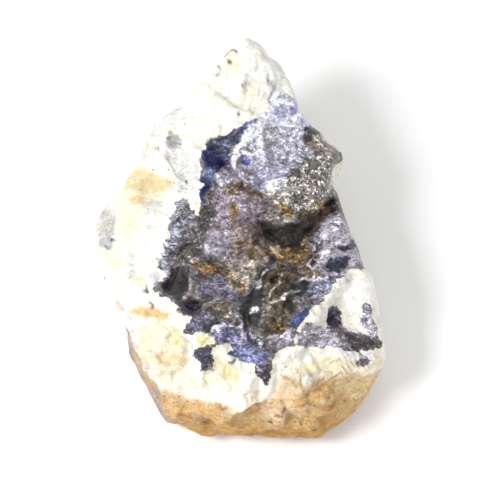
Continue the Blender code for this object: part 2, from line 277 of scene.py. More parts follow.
depth = -float(height_outside(np.array([INSIDE_POINT]))[0])
print("the inside point is", round(depth, 1), "mm deep")

# %% [markdown]
# ## A grid that closes on itself
# A globe's grid crowds at its two poles, and an icosphere has no rows to work with. The outside
# of a box of cells has neither fault: six flat grids that share their edges. Each of its points
# gives a direction, stretched to the stone's length, width and thickness so that cells stay even,
# and each direction is followed until it leaves the stone.

# %% Grid on a box, pushed out to the planes
GRID_CELLS = (150, 210, 48)
GRID_HALF_SIZE = (31.0, 43.0, 17.0)
FURTHEST = 64.0
HALVINGS = 22


def box_grid(counts):
    """The points on the outside of a box of whole-number cells, and the quads that join them:
    six grids, with the points that they share made one."""
    sides = []
    for axis in range(3):
        first, second = (axis + 1) % 3, (axis + 2) % 3
        a, b = np.meshgrid(
            np.arange(counts[first] + 1), np.arange(counts[second] + 1), indexing="ij"
        )
        for level in (0, counts[axis]):
            side = np.zeros(a.shape + (3,), int)
            side[..., axis] = level
            side[..., first] = a
            side[..., second] = b
            sides.append(side if level else side[::-1])
    corners = np.concatenate([side.reshape(-1, 3) for side in sides])
    lattice, index = np.unique(corners, axis=0, return_inverse=True)
    quads = []
    start = 0
    for side in sides:
        count = side.shape[0] * side.shape[1]
        ids = index.ravel()[start:start + count].reshape(side.shape[:2])
        quad = np.stack([ids[:-1, :-1], ids[1:, :-1], ids[1:, 1:], ids[:-1, 1:]], axis=-1)
        quads.append(quad.reshape(-1, 4))
        start += count
    return lattice, np.concatenate(quads)


def push_out(directions):
    """The point where each direction leaves the stone: the span from the inside point is halved
    again and again, and the half that holds the surface is kept."""
    near = np.zeros(len(directions))
    far = np.full(len(directions), FURTHEST)
    for _ in range(HALVINGS):
        middle = (near + far) / 2.0
        inside = height_outside(INSIDE_POINT + directions * middle[:, None]) < 0.0
        near = np.where(inside, middle, near)
        far = np.where(inside, far, middle)
    return INSIDE_POINT + directions * near[:, None]


def outward(points):
    """The unit direction in which the distance outside grows fastest, by small differences."""
    slopes = [
        height_outside(points + step) - height_outside(points - step)
        for step in np.eye(3) * 0.05
    ]
    normals = np.stack(slopes, axis=1)
    return normals / np.linalg.norm(normals, axis=1, keepdims=True)


lattice, quads = box_grid(GRID_CELLS)
spread = np.tan((lattice / np.array(GRID_CELLS) * 2.0 - 1.0) * math.pi / 4.0)
directions = spread * np.array(GRID_HALF_SIZE)
directions /= np.linalg.norm(directions, axis=1, keepdims=True)
base = push_out(directions)
base_normals = outward(base)
print(len(base), "points and", 2 * len(quads), "triangles")

# %% [markdown]
# ## Ledges, bulges and furrows
# On the broken face the dark mass stands proud of the softer cream rock, a lavender dome bulges
# at the upper right, and a hollow like a crescent runs under it. These are heights over the face.
# The lines that they follow are drawn smooth, so each point is first looked up at a slightly
# wandering place, which frays every edge as a real break does.

# %% Relief of the broken face
DARK_MASS = (
    (4.7, 31.7), (2.1, 29.6), (-0.9, 27.8), (-4.9, 25.5), (-7.5, 24.2), (-8.8, 20.1),
    (-9.2, 14.9), (-10.8, 12.2), (-12.3, 13.4), (-14.2, 10.2), (-14.2, 7.2), (-16.6, 2.9),
    (-17.6, -1.4), (-16.8, -4.8), (-17.2, -7.0), (-13.8, -10.0), (-10.3, -12.4),
    (-11.8, -14.7), (-6.9, -15.2), (-5.6, -17.9), (-9.2, -19.9), (-8.0, -24.2),
    (-5.8, -23.3), (-5.8, -19.0), (-2.1, -17.9), (1.7, -21.0), (5.2, -26.8), (6.7, -21.6),
    (9.7, -18.8), (12.9, -17.3), (15.0, -14.1), (18.3, -10.8), (21.1, -7.0), (24.1, -2.7),
    (25.8, -0.5), (23.6, 5.1), (20.9, 12.8), (19.8, 18.8), (21.1, 22.3), (17.6, 26.6),
    (15.0, 28.7), (12.5, 32.6),
)
DARK_STEP = 1.3
DARK_EDGE = 0.9
CENTRE_PLATE = (
    (-5.6, 19.2), (0.0, 21.4), (3.9, 18.0), (5.6, 12.8), (4.7, 7.4), (4.9, 3.1), (4.7, -0.5),
    (3.9, -2.7), (2.1, -6.5), (1.1, -8.7), (-3.2, -8.7), (-7.5, -6.5), (-9.0, -0.5),
    (-8.6, 4.2), (-7.5, 10.7),
)
PLATE_STEP = 0.9
PLATE_EDGE = 0.7

# Place across and along, reach across and along, and height.
BULGES = (
    (10.0, 21.0, 6.5, 8.5, 2.4),  # lavender dome
    (-26.0, 4.0, 5.5, 7.0, 1.6),  # left lobe
    (26.5, -6.0, 3.2, 4.5, 1.5),  # white cap at the right
    (-17.0, -20.0, 6.0, 6.0, 1.0),  # lower left block
    (-18.5, 16.0, 5.5, 3.0, -1.6),  # hollow under the upper left ledge
    (-16.0, 23.5, 5.0, 3.2, 1.1),  # upper left ledge
    (3.0, -26.0, 9.0, 3.5, 0.9),  # swell of the white strip
    (-2.5, 44.0, 2.2, 1.6, -1.0),  # pit beside the tip
    (16.0, -15.5, 5.0, 1.8, -0.8),  # dip of the lower right patch
    (0.5, 34.0, 5.0, 5.0, 0.9),  # swell under the tip
)

# Path, half width and depth.
FURROWS = (
    (((4.7, 6.3), (9.7, 4.0), (14.0, 5.3), (17.6, 9.4), (21.1, 13.2)), 2.6, 2.6),
    (((21.1, 13.2), (17.2, 8.5), (13.4, 3.8)), 1.0, 1.0),
    (((-25.0, -8.0), (-20.4, -10.4), (-17.2, -11.7), (-13.8, -13.4)), 1.5, 1.5),
    (((4.9, 2.0), (4.2, -3.0), (2.2, -7.0), (1.2, -14.0)), 1.1, 0.9),
    (((7.0, -29.5), (13.0, -30.5), (20.0, -28.5), (26.0, -27.0)), 1.3, 0.9),
    (((-12.0, -33.0), (-2.0, -34.5), (8.0, -34.8), (17.0, -33.5)), 1.0, 0.6),
)


def face_relief(across, along):
    """Height of the face's ledges (S-curve steps at outlines), bulges (bell curves) and furrows
    (bell curves across a path), in millimetres outwards."""
    dark = distance_outside(across, along, DARK_MASS)
    plate = distance_outside(across, along, CENTRE_PLATE)
    height = DARK_STEP * smooth_step(DARK_EDGE, -DARK_EDGE, dark)
    height += PLATE_STEP * smooth_step(PLATE_EDGE, -PLATE_EDGE, plate)
    for x, y, reach_across, reach_along, rise in BULGES:
        gap = ((across - x) / reach_across) ** 2 + ((along - y) / reach_along) ** 2
        height += rise * np.exp(-gap)
    for path, half_width, depth in FURROWS:
        gap = distance_to_path(across, along, path) / half_width
        height -= depth * np.exp(-gap * gap)
    return height


WANDER = 0.7  # how far the lines of the face wander, in millimetres
wander_across = WANDER * layered_lumps(base, 3.4, 3, 51)
wander_along = WANDER * layered_lumps(base, 3.4, 3, 61)
place_across = base[:, 0] + wander_across
place_along = base[:, 1] + wander_along
relief = face_relief(place_across, place_along)
print("relief from", round(relief.min(), 1), "to", round(relief.max(), 1), "mm")

# %% [markdown]
# ## Chips and grain
# Seen close, broken rock is steps and small flats, at every size down to its grains. The two
# largest sizes are in the solid too. Smaller ones follow here, each about half the size of the
# last, and the grain of the cream rock ends the series. All of it fades out at the flat spot
# that the stone rests on, and most of it at the rim, which keeps the outline true.

# %% Chips, lumps and grain on every side
# Size, lean, step, sharpness and seed.
CHIPS = (
    (12.0, 0.26, 0.80, 20.0, 11),
    (6.0, 0.24, 0.40, 24.0, 23),
    (2.9, 0.26, 0.16, 26.0, 37),
    (1.5, 0.22, 0.07, 20.0, 43),
)
LUMP_SIZE = 7.0
LUMP_HEIGHT = 0.45
GRAIN_SIZE = 1.3
GRAIN_HEIGHT = 0.07
RIM_CHIPS = 0.1
RIM_BAND = 7.0
FLOOR_FADE = 3.0
FACING_START = 0.15
FACING_FULL = 0.55

up = ground_axes(base)[:, 2]
above_floor = smooth_step(0.0, FLOOR_FADE, up)
roughness = LUMP_HEIGHT * lumps(base, LUMP_SIZE, 5)
roughness += GRAIN_HEIGHT * layered_lumps(base, GRAIN_SIZE, 2, 71)
for size, lean, step, sharpness, seed in CHIPS:
    roughness += chips(base, size, lean, step, sharpness, seed)
from_rim = (base[:, 2] - rim_height(base[:, 0], base[:, 1])) / RIM_BAND
roughness *= 1.0 - (1.0 - RIM_CHIPS) * np.exp(-from_rim * from_rim)
facing = smooth_step(FACING_START, FACING_FULL, base_normals[:, 2])
shaped = base + base_normals * (roughness * above_floor)[:, None]
shaped[:, 2] += facing * relief * above_floor
ground = ground_axes(shaped)
ground[:, 2] = np.maximum(ground[:, 2], 0.0)
ground[:, :2] -= BOX_MIDDLE
print("chips reach", round(float(np.abs(roughness).max()), 2), "mm")

# %% Put the surface into a mesh
stone_mesh = bpy.data.meshes.new("stone_surface")
stone_mesh.vertices.add(len(ground))
stone_mesh.vertices.foreach_set("co", (ground * MM).astype(np.float32).ravel())
stone_mesh.loops.add(4 * len(quads))
stone_mesh.loops.foreach_set("vertex_index", quads.astype(np.int32).ravel())
stone_mesh.polygons.add(len(quads))
stone_mesh.polygons.foreach_set("loop_start", np.arange(0, 4 * len(quads), 4, dtype=np.int32))
stone_mesh.update(calc_edges=True)
stone_mesh.shade_smooth()
stone = bpy.data.objects.new("stone_surface", stone_mesh)
bpy.context.scene.collection.objects.link(stone)
print(stone.name, "is", [round(v * 1000, 1) for v in stone.dimensions], "mm")

# %% [markdown]
# ## Colour by place
# Rock colour is mostly not paint on a form: each mineral sits where it grew. So the colours are
# laid on in patches with ragged edges, one over another, as a painter would: first the wide ones,
# then blotches, and the pale veins last. A few patches also hold painted shade, on slopes and steps
# that turn away from the light and in hollows, and painted highlights on lit edges. Each patch also
# says how gritty it is and how many thin pale threads cross it. The patches were drawn over the
# photograph, so their points stay in its pixels, counted from its upper left corner, and one
# function takes them to the face.

# %% From the pixels of the photograph to the face
PIXEL = 0.215  # millimetres of the stone in one pixel
PHOTO_MIDDLE = 240  # the middle of the square picture, in pixels both ways
MIDDLE_ALONG = 4.2  # what is in the middle of the picture, in millimetres along the face


def on_face(pixels):
    """Places across and along the face, to a tenth of a millimetre: the pixels' steps from the
    picture's middle, times the size of a pixel, with down turned into up."""
    return tuple(
        (round((x - PHOTO_MIDDLE) * PIXEL, 1), round(MIDDLE_ALONG - (y - PHOTO_MIDDLE) * PIXEL, 1))
        for x, y in pixels
    )


print("the picture takes in", round(2 * PHOTO_MIDDLE * PIXEL, 1), "mm")

# %% Patches of the dark mass
# Half width of a line in mm (or 0 for an outline), tint on a screen, softness of the edge in mm,
# grit, threads, and the pixels of the points.
DARK_BACKGROUND = ((104, 97, 102), 0.6, 0.35)
DARK_PATCHES = (
    (0, (224, 224, 238), 0.8, 0.25, 0.1, (  # frosted top
        (255, 122), (264, 108), (272, 98), (285, 92), (298, 100), (306, 112), (310, 126),
        (300, 136), (285, 130), (270, 128), (258, 130),
    )),
    (0, (190, 189, 204), 1, 0.45, 0.25, (  # lavender dome
        (248, 150), (254, 132), (266, 124), (282, 124), (300, 132), (312, 148), (318, 160),
        (306, 172), (292, 178), (284, 190), (270, 197), (262, 192), (254, 180), (246, 166),
    )),
    (0, (208, 208, 216), 0.9, 0.45, 0.15, (  # pale brow of the dome
        (250, 146), (258, 130), (272, 124), (286, 130), (280, 142), (264, 152), (252, 156),
    )),
    (0, (170, 167, 190), 1, 0.4, 0.25, (  # lavender flank
        (250, 166), (270, 160), (292, 160), (292, 176), (276, 182), (262, 190), (254, 180),
    )),
    (0, (172, 166, 160), 0.9, 1, 0.2, (  # salt and pepper
        (290, 168), (306, 158), (322, 152), (336, 158), (335, 172), (333, 190), (322, 204),
        (306, 210), (292, 206), (284, 196), (286, 182),
    )),
    (0, (88, 80, 84), 0.4, 0.8, 0.2, (  # dark knot of the dome
        (290, 168), (297, 166), (300, 172), (294, 176), (288, 176),
    )),
    (0, (234, 232, 228), 0.5, 0.3, 0.1, (  # bright spot
        (270, 182), (279, 180), (281, 188), (272, 191),
    )),
    (0, (196, 190, 182), 0.7, 0.8, 0.2, (  # pale foot of the dome
        (268, 192), (284, 192), (298, 204), (318, 200), (326, 204), (318, 210), (300, 212),
        (282, 206), (270, 200),
    )),
    (0, (74, 70, 72), 0.4, 0.9, 0.1, (  # dark patch at the right edge
        (301, 136), (304, 128), (309, 124), (318, 131), (325, 142), (320, 146), (312, 142),
        (306, 144),
    )),
    (0, (112, 100, 94), 0.3, 0.3, 0.1, (  # brown flake
        (307, 140), (314, 138), (318, 144), (315, 149), (308, 146),
    )),
    (0, (186, 178, 166), 0.4, 0.9, 0.1, (  # pale rim flecks
        (313, 134), (320, 132), (332, 148), (337, 157), (328, 158), (320, 148),
    )),
    (0, (170, 170, 205), 0.5, 0.3, 0.2, (  # lavender flake
        (272, 108), (283, 107), (284, 118), (278, 122), (272, 116),
    )),
    (0, (150, 150, 198), 0.4, 0.4, 0.2, (  # lavender flake
        (287, 106), (297, 103), (299, 110), (291, 114),
    )),
    (0, (156, 154, 192), 0.4, 0.4, 0.2, (  # lavender flake
        (298, 116), (305, 117), (305, 123), (299, 122),
    )),
    (0, (92, 96, 152), 0.4, 0.7, 0.2, (  # blue top
        (231, 131), (238, 124), (248, 120), (256, 119), (252, 130), (244, 132), (240, 136),
        (234, 134),
    )),
    (0, (74, 80, 110), 0.4, 0.9, 0.2, (  # slate block
        (219, 139), (229, 135), (240, 137), (242, 146), (236, 149), (232, 158), (228, 167),
        (222, 164), (219, 154),
    )),
    (0, (190, 186, 180), 0.4, 0.9, 0.1, (  # pale bit of the slate block
        (232, 149), (240, 148), (236, 156), (230, 158),
    )),
    # Deep blue, upper: blue mineral on the steep wall facing left at the step of the dark mass,
    # darkened with painted shade of that wall
    (0, (24, 32, 80), 0.3, 0.35, 0.05, (  # deep blue, upper
        (203, 146), (208, 141), (217, 142), (216, 150), (221, 158), (220, 165), (214, 170),
        (208, 164), (204, 156),
    )),
    (0, (96, 114, 150), 0.3, 0.4, 0.1, (  # slate blue
        (199, 170), (206, 164), (213, 170), (210, 180), (203, 184), (198, 178),
    )),
    # Deep blue, lower: the same blue wall, with the same painted shade
    (0, (12, 26, 72), 0.3, 0.3, 0.05, (  # deep blue, lower
        (196, 172), (200, 172), (204, 182), (206, 192), (204, 202), (199, 198), (198, 186),
    )),
    (0, (150, 143, 156), 0.8, 0.55, 0.3, (  # pale violet
        (212, 172), (228, 164), (246, 168), (256, 180), (250, 186), (232, 184), (214, 192),
    )),
    (0.3, (206, 204, 212), 0.3, 0.4, 0.1, (  # white streak beside it
        (213, 172), (216, 182), (214, 188),
    )),
    (0, (88, 84, 146), 0.3, 0.4, 0.1, (  # violet spot
        (242, 153), (250, 163), (246, 167), (241, 161),
    )),
    (0, (114, 90, 70), 0.6, 0.7, 0.3, (  # brown band
        (222, 187), (234, 182), (246, 183), (262, 192), (268, 202), (258, 200), (246, 194),
        (234, 198), (224, 196),
    )),
    (0, (30, 26, 24), 0.3, 0.5, 0, ((238, 184), (244, 182), (246, 190), (240, 192))),  # black fleck
    (0, (82, 74, 76), 0.6, 0.9, 0.3, (  # maroon grey
        (207, 190), (216, 188), (222, 196), (216, 206), (208, 204),
    )),
    (0, (134, 122, 134), 0.9, 0.55, 0.35, (  # mauve centre
        (216, 196), (236, 198), (256, 202), (266, 212), (262, 222), (246, 224), (228, 226),
        (216, 222), (212, 208),
    )),
    (0, (142, 114, 78), 0.5, 0.6, 0.3, (  # ochre fleck
        (230, 204), (238, 204), (240, 216), (232, 220), (227, 212),
    )),
    (0, (74, 68, 62), 0.6, 0.9, 0.3, (  # dark flank of the plate
        (200, 204), (210, 204), (214, 216), (208, 230), (200, 230), (197, 216),
    )),
    (0, (150, 143, 134), 0.8, 0.8, 0.3, (  # grey under the dome
        (264, 204), (282, 206), (300, 212), (312, 214), (306, 220), (288, 224), (272, 220),
        (262, 214),
    )),
    (0, (148, 116, 62), 0.5, 0.8, 0.2, (  # ochre under the dome
        (276, 203), (286, 204), (294, 212), (290, 218), (280, 212),
    )),
    (0, (82, 72, 42), 0.6, 0.9, 0.2, (  # olive
        (298, 214), (312, 212), (322, 206), (322, 216), (312, 226), (300, 224),
    )),
    (0, (170, 140, 92), 0.5, 0.8, 0.2, (  # tan corner
        (314, 200), (322, 200), (324, 210), (318, 212),
    )),
    # Crescent: dark glass, darkened further with painted shade of the hollow under the dome
    (0, (32, 27, 20), 0.6, 0.8, 0.1, (  # crescent
        (258, 224), (270, 221), (284, 226), (298, 222), (310, 222), (317, 216), (314, 228),
        (306, 238), (299, 246), (288, 249), (276, 246), (268, 240), (262, 233),
    )),
    # Horn of the crescent: the same dark glass with painted shade of the hollow
    (0, (34, 26, 16), 0.4, 0.7, 0.1, (  # crescent's horn
        (318, 212), (324, 203), (332, 195), (338, 198), (336, 208), (328, 214), (320, 220),
    )),
    (0, (108, 78, 36), 0.4, 0.8, 0.2, (  # brown glass of the horn
        (324, 206), (331, 206), (330, 214), (324, 218),
    )),
    (0.5, (98, 78, 60), 0.5, 0.7, 0.2, (  # brown groove
        (322, 220), (314, 230), (306, 240), (300, 247),
    )),
    (0, (116, 86, 48), 0.5, 0.85, 0.2, (  # ochre ledge
        (266, 246), (280, 250), (296, 249), (308, 244), (314, 250), (310, 258), (298, 264),
        (282, 266), (270, 262), (264, 254),
    )),
    (0, (198, 180, 152), 0.4, 0.6, 0.2, (  # pale end of the ledge
        (268, 247), (278, 248), (279, 255), (270, 255),
    )),
    (0, (22, 18, 14), 0.3, 0.3, 0, (  # black knob
        (266, 256), (273, 254), (276, 260), (270, 264), (266, 262),
    )),
    (0, (128, 120, 133), 0.6, 0.45, 0.4, (  # grey violet plate
        (204, 232), (214, 226), (228, 227), (231, 240), (229, 252), (214, 256), (204, 250),
    )),
    (0, (128, 110, 98), 0.7, 0.6, 0.4, (  # pinkish brown plate
        (231, 222), (248, 224), (262, 230), (266, 244), (263, 262), (246, 266), (232, 260),
        (231, 242),
    )),
    (0, (56, 46, 40), 0.4, 0.6, 0.1, (  # dark blotch
        (251, 235), (258, 234), (260, 246), (254, 248), (250, 242),
    )),
    (0, (90, 80, 50), 0.4, 0.6, 0.1, (  # olive blotch
        (248, 248), (257, 250), (259, 258), (250, 260),
    )),
    (0, (102, 78, 58), 0.4, 0.7, 0.2, (  # brown blotch
        (236, 240), (246, 240), (248, 246), (238, 248),
    )),
    (0, (112, 84, 46), 0.5, 0.8, 0.2, (  # ochre streak
        (192, 262), (200, 259), (214, 262), (228, 266), (226, 274), (208, 273), (196, 272),
    )),
    (0, (46, 32, 36), 0.4, 0.6, 0.1, ((199, 271), (210, 272), (212, 279), (202, 279))),  # maroon
    (0, (158, 148, 138), 0.6, 0.6, 0.35, (  # grey foot of the plate
        (230, 266), (246, 262), (262, 264), (258, 276), (250, 288), (240, 284), (230, 276),
    )),
    (0, (140, 122, 92), 0.5, 0.7, 0.3, (  # ochre grey
        (226, 274), (238, 276), (246, 286), (240, 294), (228, 286),
    )),
    (0, (96, 90, 106), 0.7, 0.7, 0.35, (  # violet grey, low left
        (200, 281), (214, 278), (228, 284), (240, 292), (246, 300), (240, 308), (226, 300),
        (210, 296), (202, 292),
    )),
    (0, (102, 92, 78), 0.7, 0.8, 0.35, (  # brown grey, low left
        (204, 298), (220, 298), (236, 306), (238, 316), (224, 320), (210, 316),
    )),
    (0, (94, 88, 82), 0.6, 0.9, 0.35, (  # left middle
        (172, 248), (184, 240), (196, 240), (202, 252), (196, 262), (184, 264), (172, 262),
    )),
    (0, (22, 19, 22), 0.6, 0.8, 0.15, (  # black corner
        (162, 274), (168, 266), (180, 264), (192, 268), (194, 280), (190, 292), (180, 299),
        (168, 292), (161, 284),
    )),
    (0, (180, 174, 190), 0.4, 0.6, 0.3, (  # pale lilac edge
        (160, 262), (166, 262), (167, 276), (162, 282), (160, 272),
    )),
    (0.25, (170, 160, 150), 0.3, 0.5, 0.1, ((196, 282), (190, 292), (186, 298))),  # pale crack
    (0, (42, 38, 46), 0.5, 0.9, 0.3, (  # black, low left
        (178, 300), (190, 297), (202, 300), (206, 312), (200, 320), (186, 316), (180, 310),
    )),
    (0, (30, 30, 46), 0.4, 0.6, 0.1, (  # blue black
        (184, 303), (194, 302), (196, 312), (188, 314),
    )),
    (0, (90, 88, 108), 0.6, 0.8, 0.3, (  # slate, low left
        (192, 316), (206, 314), (216, 318), (214, 328), (200, 330), (190, 332), (186, 326),
    )),
    (0, (22, 18, 22), 0.3, 0.7, 0.1, (  # black flecks
        (203, 325), (214, 320), (222, 323), (214, 329), (204, 329),
    )),
    # Black triangle: black glass, darkened further with painted shade where the face steps down
    # from the centre plate
    (0, (24, 22, 26), 0.5, 0.85, 0.15, (  # black triangle
        (249, 292), (256, 280), (260, 268), (266, 266), (267, 280), (264, 298), (263, 316),
        (258, 324), (248, 322), (240, 316), (244, 304),
    )),
    # White flashes: painted glints on the black glass, partly pale flecks of its own
    (0, (210, 208, 210), 0.3, 0.9, 0.2, (  # white flashes
        (254, 284), (260, 283), (259, 291), (255, 291),
    )),
    (0, (198, 194, 198), 0.3, 0.9, 0.2, (  # white flashes
        (252, 306), (258, 305), (259, 312), (252, 313),
    )),
    (0, (82, 66, 44), 0.7, 0.85, 0.3, (  # brown glass
        (266, 270), (280, 266), (296, 266), (300, 276), (294, 290), (294, 304), (290, 318),
        (280, 322), (268, 320), (265, 300),
    )),
    (0, (134, 124, 110), 0.4, 0.7, 0.3, (  # grey beige in the glass
        (262, 302), (272, 303), (278, 312), (270, 318), (264, 314),
    )),
    (0, (18, 16, 18), 0.4, 0.7, 0.1, (  # black gap
        (282, 298), (290, 296), (294, 306), (288, 311), (281, 306),
    )),
    (0, (20, 24, 36), 0.4, 0.7, 0.2, (  # dark squares
        (290, 284), (298, 280), (308, 280), (308, 290), (298, 297), (290, 294),
    )),
    (0, (100, 80, 56), 0.6, 0.85, 0.35, (  # brown band, right
        (300, 262), (312, 254), (320, 262), (322, 274), (310, 279), (300, 274),
    )),
    (0, (128, 128, 152), 0.6, 0.6, 0.4, (  # slate, right
        (308, 284), (322, 278), (334, 280), (330, 290), (318, 299), (308, 297),
    )),
    (0, (54, 68, 120), 0.4, 0.6, 0.15, (  # blue patch
        (291, 318), (300, 308), (306, 310), (306, 318), (297, 325), (290, 327),
    )),
    (0, (146, 140, 156), 0.7, 0.8, 0.6, (  # veined right side
        (318, 226), (336, 212), (346, 222), (354, 238), (358, 252), (362, 262), (348, 272),
        (334, 278), (322, 274), (314, 262), (312, 246),
    )),
    (0, (26, 28, 48), 0.4, 0.7, 0.3, (  # dark island
        (337, 248), (344, 243), (354, 240), (357, 248), (348, 252), (340, 253),
    )),
    (0, (34, 40, 60), 0.4, 0.7, 0.3, (  # dark island
        (330, 258), (340, 255), (350, 258), (349, 267), (338, 272), (328, 274), (325, 268),
    )),
    (0, (60, 56, 62), 0.4, 0.8, 0.3, (  # dark island
        (313, 240), (322, 240), (324, 248), (316, 251),
    )),
    (0, (64, 50, 46), 0.4, 0.8, 0.3, (  # dark island
        (305, 256), (314, 257), (318, 266), (308, 266),
    )),
    (0, (100, 96, 132), 0.6, 0.75, 0.45, (  # violet hem
        (211, 330), (226, 323), (240, 326), (250, 332), (252, 342), (240, 344), (228, 342),
        (214, 346), (209, 338),
    )),
    (0, (86, 64, 98), 0.4, 0.5, 0.3, ((210, 332), (216, 336), (214, 346), (210, 344))),  # purple
    (0, (22, 20, 34), 0.3, 0.6, 0.2, (  # black triangle of the hem
        (245, 334), (250, 328), (257, 330), (262, 341), (256, 344), (250, 340),
    )),
    (0, (70, 64, 48), 0.4, 0.7, 0.2, (  # olive grey
        (235, 316), (242, 316), (250, 324), (246, 328), (238, 324),
    )),
    (0, (84, 68, 40), 0.5, 0.85, 0.25, (  # olive foot
        (262, 324), (270, 320), (284, 320), (290, 328), (282, 336), (268, 336), (260, 332),
    )),
    (0, (36, 22, 24), 0.3, 0.6, 0.1, (  # maroon knob
        (264, 326), (272, 326), (272, 332), (265, 332),
    )),
    (0, (142, 140, 152), 0.5, 0.6, 0.4, (  # grey hem, right
        (262, 338), (278, 338), (292, 330), (300, 332), (298, 344), (286, 346), (272, 344),
    )),
    (0, (104, 108, 146), 0.5, 0.6, 0.3, (  # slate blue hem
        (230, 344), (244, 340), (258, 344), (266, 352), (264, 362), (252, 364), (240, 356),
        (232, 354),
    )),
    (0, (84, 74, 88), 0.4, 0.9, 0.3, (  # drip
        (253, 364), (262, 360), (270, 366), (268, 376), (262, 384), (256, 378),
    )),
    (0, (50, 46, 66), 0.5, 0.9, 0.3, (  # tongue
        (197, 352), (206, 347), (213, 352), (213, 362), (208, 372), (200, 370), (197, 360),
    )),
    (0, (110, 100, 112), 0.3, 0.8, 0.2, (  # root of the tongue
        (206, 346), (216, 338), (222, 340), (214, 348),
    )),
    (0, (176, 174, 184), 0.8, 0.75, 0.5, (  # pale patch, lower right
        (298, 330), (312, 326), (326, 328), (340, 332), (344, 344), (330, 348), (310, 346),
        (298, 342),
    )),
    (0, (190, 188, 204), 0.8, 0.7, 0.4, (  # lilac, lower right
        (356, 308), (364, 306), (374, 316), (376, 334), (362, 334), (346, 330), (350, 318),
    )),
    (0, (62, 46, 50), 0.5, 0.9, 0.3, (  # red brown streak
        (345, 334), (356, 336), (366, 336), (376, 340), (382, 338), (378, 344), (366, 349),
        (354, 347), (346, 342),
    )),
    (0, (52, 56, 78), 0.5, 0.8, 0.2, (  # knot
        (322, 318), (326, 312), (332, 308), (338, 312), (339, 321), (333, 327), (325, 324),
    )),
    (0.35, (84, 50, 36), 0.25, 0.5, 0, ((333, 330), (342, 331), (350, 333))),  # brown crack
    (0, (200, 160, 110), 0.4, 0.4, 0.2, (  # ochre dot
        (346, 318), (354, 318), (356, 324), (350, 326),
    )),
    (0.45, (243, 243, 247), 0.3, 0.2, 0, (  # thick white vein
        (262, 118), (255, 128), (248, 138), (242, 148), (235, 157), (230, 166),
    )),
    (0, (236, 236, 246), 0.3, 0.2, 0, (  # white gusset
        (243, 130), (252, 126), (250, 136), (244, 146), (241, 140),
    )),
    (0.2, (226, 226, 234), 0.25, 0.2, 0, (  # arc vein
        (244, 153), (252, 158), (262, 162), (276, 164), (292, 163),
    )),
    (0.18, (190, 185, 196), 0.25, 0.3, 0, (  # level vein
        (196, 248), (212, 249), (228, 249), (236, 250),
    )),
    (0.22, (226, 222, 232), 0.25, 0.3, 0, ((318, 240), (326, 230), (338, 232), (350, 236))),  # vein
    (0.2, (226, 222, 232), 0.25, 0.3, 0, ((322, 228), (332, 222), (342, 226))),  # vein
    (0.25, (222, 216, 226), 0.25, 0.3, 0, ((316, 254), (328, 252), (338, 246), (348, 240))),  # vein
    (0.25, (222, 216, 226), 0.25, 0.3, 0, ((312, 268), (322, 262), (330, 252))),  # vein
    (0.22, (222, 216, 226), 0.25, 0.3, 0, ((300, 278), (312, 280), (326, 278))),  # vein
    (0.2, (210, 206, 210), 0.25, 0.3, 0, ((309, 262), (314, 272), (312, 282))),  # vein
    (0.2, (222, 218, 228), 0.25, 0.3, 0, ((212, 328), (226, 324), (236, 326))),  # vein
    (0.2, (222, 218, 228), 0.25, 0.3, 0, ((236, 326), (242, 334), (240, 344))),  # vein
    (0.2, (222, 218, 228), 0.25, 0.3, 0, ((250, 326), (254, 334), (262, 342))),  # vein
    (0.25, (222, 218, 228), 0.25, 0.3, 0, ((268, 338), (280, 336), (290, 330))),  # vein
    (0.2, (222, 218, 228), 0.25, 0.3, 0, ((196, 332), (210, 330))),  # vein
    (0.2, (200, 196, 206), 0.25, 0.3, 0, ((228, 308), (236, 318), (240, 326))),  # vein
    (0.18, (196, 190, 180), 0.25, 0.3, 0, ((262, 300), (272, 302), (284, 296), (294, 290))),  # vein
    (0.18, (196, 190, 180), 0.25, 0.3, 0, ((264, 270), (258, 280), (250, 290))),  # vein
    (0.18, (180, 176, 166), 0.25, 0.3, 0, ((280, 276), (276, 286), (270, 296))),  # vein
)
print(len(DARK_PATCHES), "patches of the dark mass")

